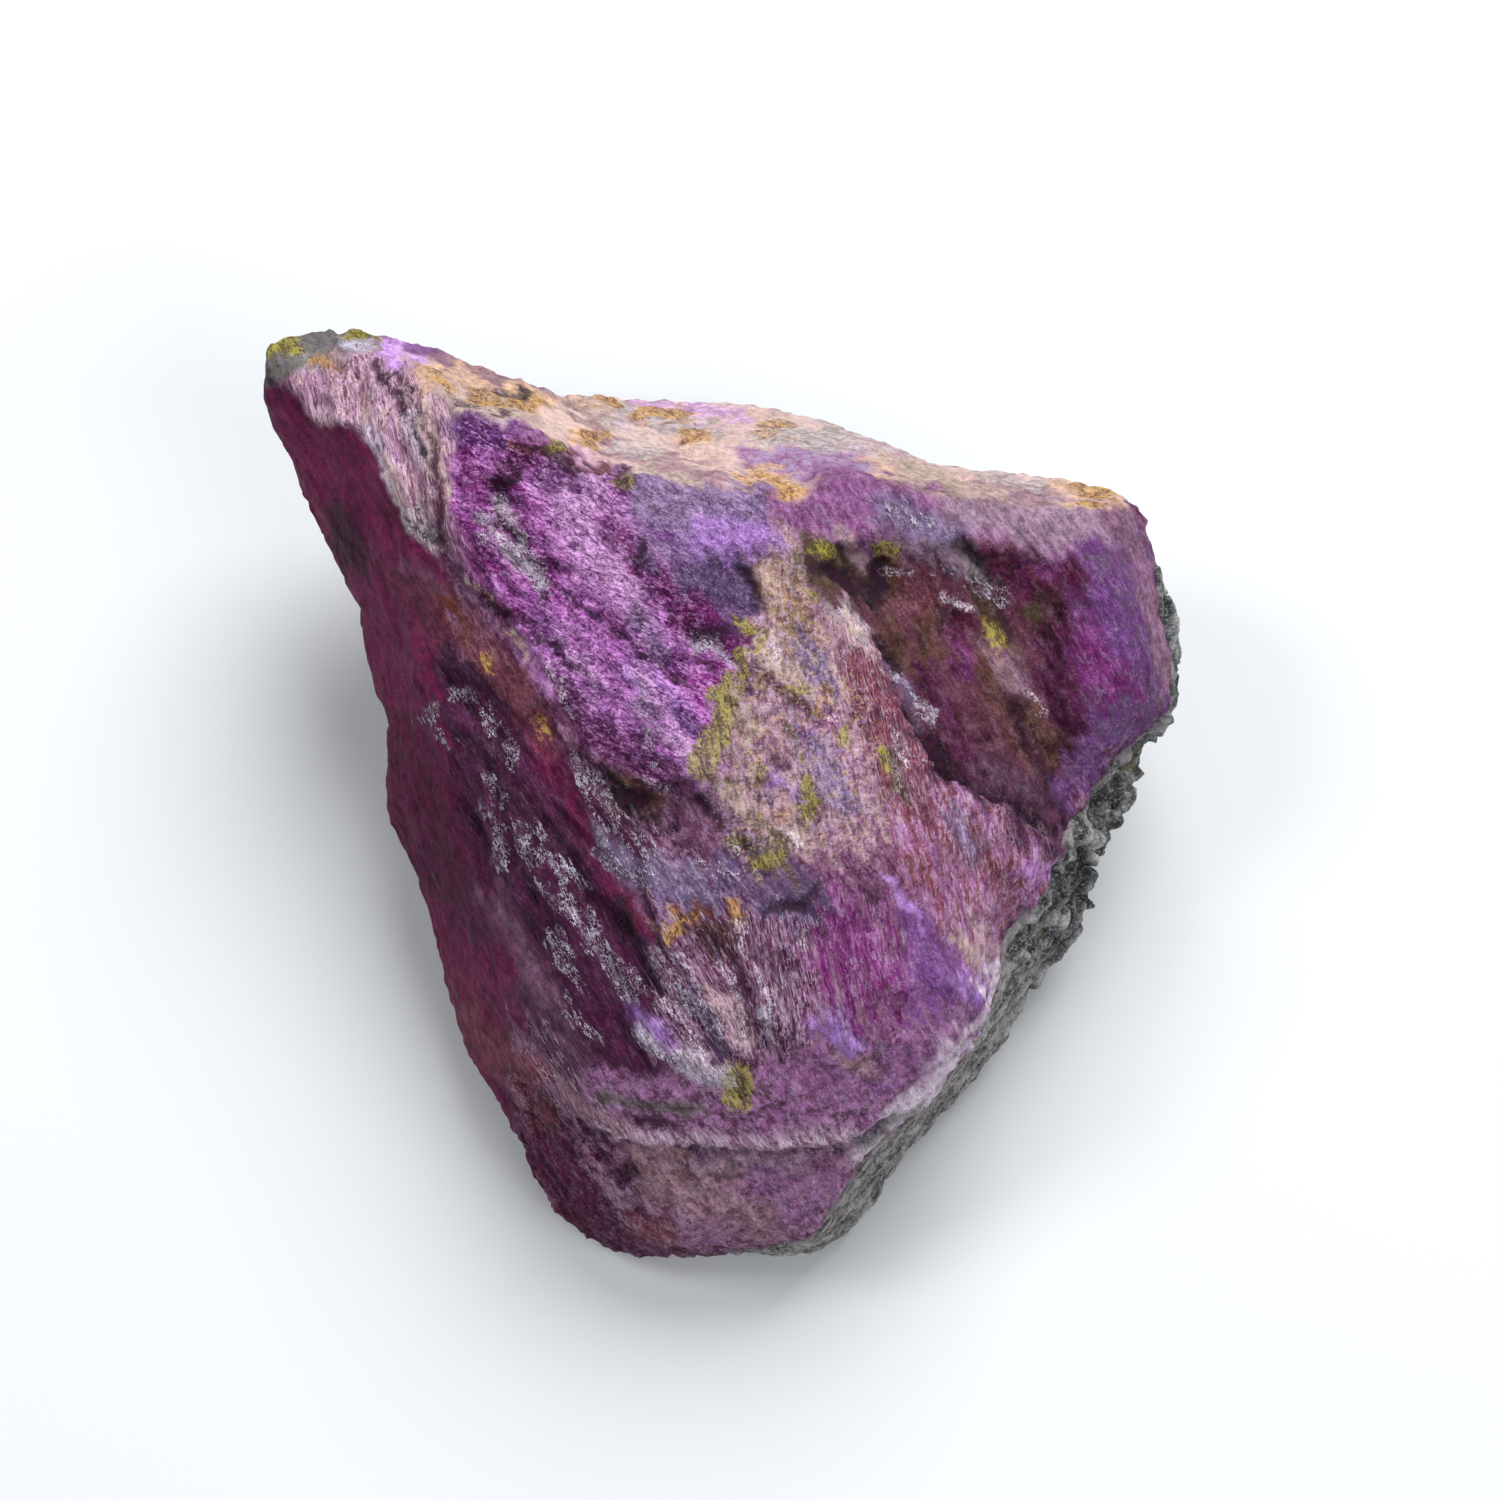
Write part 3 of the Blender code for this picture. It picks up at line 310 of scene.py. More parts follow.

# %% [markdown]
# ## Clouds of colour
# Inside a face the colour drifts: an indigo corner, a bright violet spot, a brown smear. Each cloud
# is a palette colour, a line on the map, a half width and a fade, in millimetres. A few dark clouds
# are painted shade: on the wall of the hollow and in the recess under the magenta face.

# %% Clouds of colour on the map
CLOUDS = [
    ("violet", [(-18.0, 20.1), (-15.6, 19.5)], 1.0, 1.2), ("magenta", [(-17.5, 17.5), (-15.6, 15.6), (-13.1, 11.9)], 0.7, 1.0),
    ("pale orchid", [(-11.1, 16.8), (-9.4, 13.1), (-7.1, 10.4)], 2.0, 2.4), ("orchid", [(-11.9, 6.9), (-8.1, 3.1), (-3.8, -0.6)], 2.4, 2.0),
    ("magenta", [(-9.4, 14.4), (-6.9, 11.9), (-3.8, 8.1)], 0.8, 1.2), ("bright violet", [(-6.9, 4.4), (-4.4, 1.9)], 1.0, 1.4),
    ("plum", [(-15.6, 16.6), (-14.4, 18.4)], 0.8, 0.7), ("rust", [(-14.7, 19.1), (-11.9, 18.4), (-9.4, 17.6)], 0.4, 0.5),
    ("plum", [(-11.9, 3.8), (-9.4, 0.6), (-4.4, -2.2)], 0.9, 1.2), ("pale orchid", [(-11.2, 6.2), (-9.6, 4.4)], 0.6, 0.9),
    ("pale orchid", [(-4.4, 0.6), (-3.1, -0.6)], 0.8, 0.9), ("slate lilac", [(-6.9, 8.1), (-5.6, 6.2)], 0.8, 1.2),
    ("bright violet", [(-1.8, 13.8), (-0.3, 13.1)], 1.4, 1.6), ("lilac", [(-5.9, 15.6), (-3.8, 14.7), (-0.6, 15.6)], 1.5, 1.5),
    ("indigo", [(-3.1, 10.9), (-0.3, 10.3)], 1.7, 1.5), ("indigo", [(-6.9, 12.5), (-5.9, 10.0)], 0.7, 0.8),
    ("plum", [(-3.8, 8.1), (-1.2, 6.9)], 1.3, 1.2), ("black", [(-0.5, 11.1), (0.5, 9.9)], 0.3, 0.6),
    ("rust", [(-19.4, 9.9), (-18.4, 8.1)], 0.9, 1.2), ("rose", [(-17.2, 6.9), (-15.0, 4.4), (-12.8, 0.8)], 1.0, 0.9), ("rust", [(-16.2, 5.9), (-14.7, 4.1), (-13.0, 1.0)], 0.25, 0.5),
    ("mauve", [(-21.6, 11.9), (-19.6, 10.0)], 0.5, 1.4), ("magenta", [(-18.4, 13.8), (-15.6, 10.6)], 0.8, 1.2),
    ("plum black", [(-25.3, 14.4), (-24.9, 11.9)], 1.0, 1.5),
    ("plum black", [(-18.8, 5.6), (-15.6, 3.8), (-13.1, 1.9)], 1.0, 1.2), ("plum black", [(-16.2, 0.3), (-14.1, -3.8), (-11.2, -6.9)], 0.9, 1.0),
    ("wine", [(-13.1, 0.0), (-10.0, -5.0), (-6.9, -11.2)], 0.6, 1.2), ("black", [(-8.1, -9.4), (-6.2, -14.4)], 0.4, 0.7),
    ("plum", [(-20.0, -6.2), (-16.2, -11.2)], 1.5, 2.0), ("plum", [(-10.0, -15.6), (-6.9, -19.4)], 1.2, 2.0),
    ("dark mauve", [(-13.8, -15.0), (-10.9, -19.4)], 1.4, 1.8), ("rose", [(-18.4, -15.9), (-15.6, -19.4)], 1.1, 2.3),
    ("rose", [(-14.9, -18.9), (-13.1, -20.1)], 0.8, 1.0), ("dusty pink", [(-11.9, -20.6), (-10.0, -22.4), (-7.5, -23.6)], 0.35, 0.6), ("violet", [(-6.9, -16.2), (-5.9, -18.1)], 0.6, 0.8),
    # brown and black in the recess: partly the stone's brownish colour, partly painted shadow under the magenta face's
    # lower edge
    ("brown", [(-8.1, -2.5), (-6.2, -3.1)], 1.2, 1.2), ("black", [(-8.6, -2.5), (-6.9, -3.6)], 0.6, 0.9),
    ("slate lilac", [(-9.4, -5.6), (-6.9, -7.5)], 0.6, 1.0), ("slate lilac", [(-6.9, -7.5), (-3.1, -8.8)], 1.2, 1.2),
    ("mauve", [(-4.4, -3.8), (-1.9, -5.6)], 1.2, 1.6), ("indigo", [(-1.6, -7.5), (3.1, -8.4)], 0.8, 1.0),
    ("indigo", [(0.6, -10.3), (4.4, -9.1)], 0.7, 0.7), ("ochre", [(-5.6, -11.1), (-4.4, -10.8)], 0.5, 0.6),
    ("rust", [(-3.8, -10.1), (-2.8, -9.9)], 0.5, 0.6), ("ochre", [(-0.9, -9.7), (-0.6, -10.9)], 0.4, 0.5),
    ("brown", [(-3.1, -11.2), (-0.6, -12.2)], 0.8, 0.9), ("pale pink", [(-1.9, -15.6), (-0.3, -18.1)], 0.7, 0.9),
    ("ice", [(-6.2, -18.2), (-3.8, -19.9), (-1.6, -20.5)], 0.5, 0.7), ("indigo", [(-3.8, -14.7), (-2.2, -18.1)], 0.5, 0.6),
    ("violet", [(5.5, -16.9), (6.2, -18.1)], 0.7, 0.9), ("magenta", [(5.6, -11.2), (8.1, -14.4)], 1.6, 1.4),
    ("violet", [(10.6, -11.9), (12.8, -15.6)], 1.3, 1.4), ("bright violet", [(8.1, -7.4), (9.4, -9.1), (10.8, -11.1)], 0.25, 0.4),
    ("heather", [(2.5, -20.3), (6.2, -21.2)], 1.0, 1.4), ("violet", [(8.1, -20.9), (9.4, -19.4)], 0.7, 1.0),
    ("grey green", [(-9.4, -21.6), (-5.6, -22.4), (-3.1, -22.6)], 0.35, 0.8), ("dusty pink", [(6.2, -19.4), (8.1, -20.0)], 0.5, 0.9), ("pale pink", [(14.7, -14.1), (14.1, -11.2)], 0.5, 0.8),
    ("bright violet", [(13.4, -14.7), (14.7, -13.8)], 0.5, 0.7), ("heather", [(9.4, -20.0), (13.1, -16.9)], 1.2, 1.4),
    ("ash", [(6.9, -24.4), (11.9, -21.9), (15.0, -18.1)], 0.5, 0.8), ("plum", [(-13.8, -23.8), (-10.6, -28.1), (-8.8, -30.9)], 1.6, 2.0),
    ("dusty pink", [(-6.9, -25.0), (-4.4, -25.5)], 0.6, 0.9), ("brown", [(-3.8, -25.9), (-1.2, -26.4)], 0.6, 0.9),
    ("pale mauve", [(-8.6, -27.6), (-7.4, -28.4)], 0.4, 0.7), ("heather", [(1.9, -26.2), (5.0, -26.9)], 1.2, 1.4),
    ("rose", [(-6.9, -29.9), (-3.1, -30.9)], 0.9, 1.0),
    ("magenta", [(-12.5, -25.0), (-10.9, -27.5)], 0.6, 1.2), ("plum black", [(-8.1, -26.4), (-3.8, -26.9)], 0.7, 1.0),
    ("dusty pink", [(-6.9, -25.6), (0.6, -25.9)], 0.5, 0.9), ("heather", [(-3.1, -29.7), (3.1, -28.1)], 1.2, 1.6),
    ("heather", [(-1.9, -27.8), (3.1, -27.5)], 0.8, 1.2), ("plum", [(-9.4, -31.2), (3.1, -32.0)], 0.6, 1.0),
    ("tan", [(1.8, 12.2), (2.2, 9.4), (3.1, 6.9)], 1.3, 1.4), ("dusty pink", [(-0.9, 0.3), (-0.3, -0.6), (0.6, 1.9)], 1.0, 1.2),
    ("cream", [(-0.9, -3.1), (0.6, -4.4), (2.5, -5.3)], 1.2, 1.4), ("plum", [(-3.1, -4.4), (-1.4, -6.0)], 1.1, 1.4), ("olive brown", [(4.1, 11.9), (7.2, 10.6)], 1.6, 0.9),
    ("brown", [(8.1, 11.9), (8.4, 9.4)], 0.9, 0.8), ("black", [(7.6, 11.2), (8.0, 9.4)], 0.4, 0.6),
    ("slate lilac", [(3.4, 6.2), (4.7, 4.4)], 0.9, 0.8), ("pale pink", [(5.9, 8.1), (7.0, 6.6)], 0.9, 0.8),
    ("ash", [(5.3, 8.6), (6.4, 8.0)], 0.5, 0.6), ("magenta", [(3.6, 2.8), (5.1, 2.4)], 0.6, 0.8),
    ("ashen pink", [(1.6, -4.1), (3.1, -5.9)], 1.0, 1.2), ("peach", [(1.4, -3.1), (2.5, -4.1)], 0.5, 0.8),
    ("bright violet", [(1.2, -2.4), (2.6, -2.2)], 0.5, 0.8), ("slate lilac", [(4.4, -0.6), (5.6, -3.1)], 0.8, 1.2),
    ("plum", [(0.9, 4.4), (2.5, 3.8)], 0.5, 0.8), ("dusty pink", [(-0.6, -0.6), (0.6, -3.1)], 1.0, 1.2),
    ("mauve", [(-3.1, -3.1), (-0.6, -6.2)], 1.2, 1.4), ("olive brown", [(-0.3, -6.9), (2.2, -6.8)], 0.5, 0.8),
    ("rose", [(6.2, 5.6), (8.1, 1.9)], 0.8, 0.9),
    ("rose", [(6.4, 3.1), (8.8, -3.1)], 0.5, 0.6), ("olive brown", [(8.4, 0.0), (9.7, -3.1)], 0.4, 0.6),
    ("deep heather", [(2.2, 15.3), (5.0, 14.4), (6.9, 13.4)], 1.2, 1.2), ("deep heather", [(5.0, 16.9), (7.5, 15.6), (11.2, 14.4)], 1.2, 1.2),
    ("slate lilac", [(8.8, 15.0), (12.5, 13.1)], 1.1, 1.2), ("pale mauve", [(13.1, 15.1), (18.1, 14.2), (22.5, 14.4)], 1.3, 1.3),
    ("pale pink", [(5.5, 13.8), (6.4, 12.8)], 0.5, 0.7),
    ("magenta", [(11.8, 7.5), (13.6, 5.3)], 0.6, 1.2), ("brown", [(10.6, 9.4), (11.6, 6.2)], 1.0, 1.2),
    ("olive brown", [(15.0, 9.4), (15.6, 6.2)], 0.9, 1.0), ("brown", [(15.6, 4.4), (18.1, 0.6)], 1.6, 1.6),
    ("mauve", [(15.6, 6.2), (16.9, 3.8)], 0.8, 1.2), ("burgundy", [(18.9, 9.4), (19.6, 6.2), (19.9, 2.5)], 1.1, 2.0),
    ("black", [(13.1, 12.5), (15.0, 10.0)], 0.6, 0.8), ("ash", [(12.8, 11.9), (13.4, 10.9)], 0.5, 0.6),
    ("slate lilac", [(8.6, 5.9), (10.1, 3.1)], 0.6, 0.8), ("black", [(10.3, 0.9), (11.9, -0.6)], 0.6, 0.9),
    ("plum black", [(12.2, -1.6), (15.6, -3.1), (18.8, -5.3)], 0.9, 1.0), ("dark mauve", [(14.4, -0.6), (18.1, -3.1)], 1.0, 1.5),
    ("dark rose", [(15.6, 10.0), (18.1, 8.8)], 1.0, 1.4), ("rose", [(9.7, 9.4), (10.9, 10.6)], 0.7, 1.0),
    ("magenta", [(21.2, 6.9), (23.1, 3.8)], 1.4, 1.6), ("violet", [(21.9, 10.0), (23.0, 6.9)], 0.7, 1.2),
    ("dusty mauve", [(24.1, 12.8), (25.9, 6.9), (26.4, 1.9)], 0.6, 0.9), ("mauve", [(22.5, 14.4), (23.8, 12.8)], 0.9, 1.2),
    ("violet", [(22.5, 0.6), (19.4, -2.5)], 0.8, 1.2), ("plum", [(19.4, 11.9), (20.9, 9.4)], 0.6, 1.2),
    ("rose", [(10.6, -3.1), (13.1, -6.2), (15.6, -8.1)], 0.9, 1.2), ("slate lilac", [(13.1, -5.0), (14.1, -6.9)], 0.7, 1.0),
    ("plum", [(16.2, -4.4), (18.8, -6.2)], 0.8, 1.0), ("orchid", [(16.9, -6.9), (18.8, -8.1)], 0.8, 1.0),
    ("peach", [(-10.9, 22.0), (-8.6, 21.6)], 0.7, 0.8), ("pale ash", [(-8.1, 21.6), (-6.9, 21.4)], 0.5, 0.6),
    ("peach", [(-6.6, 21.2), (-3.8, 20.9)], 0.6, 0.8), ("pale orchid", [(-3.1, 21.2), (-0.6, 20.9)], 0.5, 0.8),
    ("frost", [(-9.4, 20.6), (-3.1, 20.1)], 0.4, 0.8), ("peach", [(-10.5, 19.4), (-9.4, 19.0)], 0.6, 0.6),
    ("dusty pink", [(-9.4, 18.9), (-5.6, 18.0), (-1.9, 17.0)], 0.5, 0.7), ("peach", [(-4.4, 19.6), (-2.8, 19.4)], 0.4, 0.6),
    ("pale ash", [(0.6, 19.6), (5.6, 19.1)], 0.5, 0.9), ("peach", [(0.0, 16.5), (3.1, 16.1)], 0.45, 0.7),
    ("peach", [(-0.3, 17.2), (2.5, 17.0)], 0.5, 0.7), ("pale ash", [(2.5, 20.0), (6.9, 19.2)], 0.5, 0.8),
    ("peach", [(7.5, 18.2), (9.4, 17.8)], 0.6, 0.9), ("cream", [(9.4, 17.6), (13.1, 16.4)], 0.6, 0.9),
    ("peach", [(19.4, 16.4), (22.8, 15.8)], 0.6, 0.9), ("dusty pink", [(14.4, 16.2), (18.1, 16.0)], 0.7, 1.0),
    ("violet", [(-20.9, 25.3), (-19.4, 24.6)], 0.6, 0.8), ("peach", [(-20.0, 23.2), (-17.5, 23.4), (-13.1, 21.8)], 0.8, 0.8), ("sand", [(-11.9, 21.8), (-8.8, 20.6)], 0.6, 0.9),
    ("pale orchid", [(-6.9, 22.0), (-3.1, 21.9)], 0.5, 0.8), ("pale ash", [(-5.9, 20.3), (-1.9, 19.9)], 0.4, 0.8),
    ("frost", [(6.9, 19.0), (9.7, 18.4)], 0.5, 0.8), ("pale ash", [(15.0, 17.0), (18.1, 16.6)], 0.4, 0.8),
    ("dusty pink", [(-18.8, 24.7), (-15.6, 23.6)], 0.7, 1.0), ("olive brown", [(-15.6, 22.1), (-13.9, 22.2)], 0.4, 0.5),
    ("pale ash", [(-18.4, 21.8), (-15.6, 21.0)], 0.6, 0.7), ("ochre", [(-14.4, 21.6), (-13.5, 21.1)], 0.5, 0.5),
    ("dusty pink", [(-12.8, 22.8), (-9.4, 19.9)], 0.35, 0.5), ("ash", [(-28.8, 25.3), (-26.9, 24.2)], 0.5, 0.8),
    ("ochre", [(-27.1, 24.2), (-26.1, 24.0)], 0.35, 0.5), ("olive", [(-30.2, 25.2), (-28.8, 25.5)], 0.6, 0.7),
    ("olive", [(-25.3, 25.9), (-23.5, 25.9)], 0.5, 0.6), ("ice", [(-25.3, 25.2), (-24.1, 25.1)], 0.3, 0.5),
    ("pale orchid", [(-22.8, 19.4), (-21.9, 16.2)], 0.4, 0.5), ("pearl", [(-23.5, 19.9), (-22.6, 17.6), (-21.9, 15.6)], 0.55, 0.4),
    ("pale ash", [(-21.6, 14.7), (-19.4, 13.1)], 0.5, 0.7), ("plum", [(-23.1, 23.8), (-21.8, 21.8), (-20.0, 17.5)], 0.25, 0.35),
    ("frost", [(-16.5, 14.4), (-15.3, 12.8), (-13.4, 10.8)], 0.35, 0.7), ("frost", [(-15.6, 15.5), (-14.6, 14.4)], 0.3, 0.6),
    ("magenta", [(-6.9, 10.9), (-3.2, 8.8), (-0.9, 6.4)], 0.7, 0.7), ("pale orchid", [(-6.6, 4.4), (-5.1, 1.8)], 0.6, 1.0),
    ("ice", [(-3.4, 6.4), (-1.6, 5.5)], 0.4, 0.6), ("bright violet", [(-2.9, 13.4), (0.6, 12.8)], 1.2, 1.4),
    ("burgundy", [(-21.6, 0.6), (-20.3, -3.1), (-18.4, -8.1)], 1.8, 3.0), ("burgundy", [(-13.4, -25.0), (-10.6, -29.1)], 1.6, 1.8),
    ("dusty pink", [(-5.9, -27.2), (0.6, -29.1)], 1.2, 1.6), ("pale mauve", [(-3.1, -25.6), (3.1, -26.2)], 0.7, 1.2),
    ("pale mauve", [(9.7, 12.8), (11.9, 12.1), (13.2, 11.4)], 0.7, 0.7), ("ash", [(14.2, 11.6), (15.1, 10.6)], 0.45, 0.5),
    ("black", [(13.9, 12.8), (14.6, 11.8), (15.4, 10.3)], 0.3, 0.4), ("black", [(7.6, 11.8), (7.6, 9.5)], 0.5, 0.6),
    ("burgundy", [(15.6, 11.8), (17.2, 10.6)], 0.9, 0.8), ("magenta", [(17.5, 11.6), (19.0, 11.5)], 0.6, 0.7),
    ("burgundy", [(19.5, 11.5), (20.6, 10.9), (21.1, 10.2)], 0.5, 0.6), ("brown", [(8.6, 7.5), (9.7, 5.6)], 0.8, 0.9),
    ("ochre", [(15.2, 8.1), (15.5, 6.2)], 0.30, 0.4), ("olive brown", [(17.2, 9.6), (17.5, 8.4)], 0.5, 0.5),
    ("dusty pink", [(15.6, 5.5), (16.6, 3.9)], 0.5, 0.9), ("plum", [(18.8, 5.9), (19.2, 3.8), (19.9, 2.2)], 1.1, 1.3),
    ("indigo", [(0.4, -9.4), (2.5, -10.3), (4.4, -9.4)], 0.6, 0.7), ("mauve", [(0.1, -11.2), (1.6, -16.9)], 0.9, 1.2),
    ("frost", [(-4.6, -18.8), (-3.1, -19.6), (-1.5, -20.0)], 0.3, 0.8), ("indigo", [(-3.6, -15.6), (-1.8, -18.8)], 0.5, 0.5),
    ("bright violet", [(4.1, -17.4), (6.0, -17.9)], 0.5, 0.8), ("bright violet", [(-6.1, -16.9), (-5.0, -18.4)], 0.5, 0.7),
    ("brown", [(-1.2, -16.2), (-0.5, -17.5)], 0.35, 0.5),
    ("brown", [(1.2, 3.8), (4.1, 3.1)], 0.7, 0.8), ("cream", [(0.6, 6.2), (2.5, 5.0)], 0.6, 0.8),
    ("violet", [(3.1, 0.9), (4.1, 0.3)], 0.4, 0.6), ("peach", [(3.5, 3.8), (4.5, 3.5)], 0.3, 0.5),
    ("olive brown", [(3.0, -2.5), (4.1, -4.4)], 0.5, 0.7), ("plum", [(-0.3, 3.8), (0.6, 3.1)], 0.4, 0.6),
    ("sand", [(-19.4, 22.4), (-16.9, 21.9), (-13.8, 20.9)], 0.5, 0.7), ("pale ash", [(-8.1, 19.0), (-5.6, 18.6)], 0.4, 0.7),
    ("sand", [(-6.9, 17.5), (-3.1, 16.8)], 0.3, 0.6), ("heather", [(0.6, -26.9), (5.0, -28.1)], 1.0, 1.6),
    ("heather", [(2.5, -29.1), (5.6, -29.7)], 0.6, 1.2), ("olive brown", [(0.6, -5.6), (2.2, -6.2)], 0.5, 0.6),
    ("cream", [(-0.6, 3.1), (0.1, 1.2), (-0.3, -1.2)], 0.3, 0.8), ("olive brown", [(2.5, 1.2), (3.1, -0.6)], 0.4, 0.6),
    ("plum black", [(-10.0, -8.1), (-6.9, -13.1), (-5.6, -16.2)], 0.3, 0.6),
    ("pale pink", [(13.0, -11.6), (14.7, -13.1)], 0.6, 0.7), 
    ("dark rose", [(-19.6, 17.5), (-19.4, 15.6), (-19.0, 13.1)], 0.6, 0.7), ("frost", [(-21.4, 20.9), (-20.9, 19.6), (-20.5, 18.0)], 0.55, 0.5),
    ("rose", [(-14.1, -20.6), (-12.8, -23.4)], 0.8, 1.0), ("mauve", [(-15.9, -9.4), (-14.4, -12.2), (-12.5, -15.6)], 0.7, 1.4),
    ("rose", [(-15.6, 5.1), (-13.5, 2.2)], 0.7, 0.7), ("dark rose", [(-21.4, 10.6), (-19.6, 6.9)], 0.8, 1.6),
    # painted shade: plum and plum black darken the wall of the hollow
    ("plum", [(10.9, 4.4), (13.4, 0.0)], 0.8, 1.2), ("plum black", [(16.4, 3.1), (17.9, -0.6), (18.8, -3.1)], 0.5, 1.0),
    ("burgundy", [(12.5, 9.4), (14.1, 6.9)], 0.6, 0.8), ("pale orchid", [(-11.4, 16.9), (-9.9, 16.1)], 0.9, 0.7),
]
print(len(CLOUDS), "clouds placed")
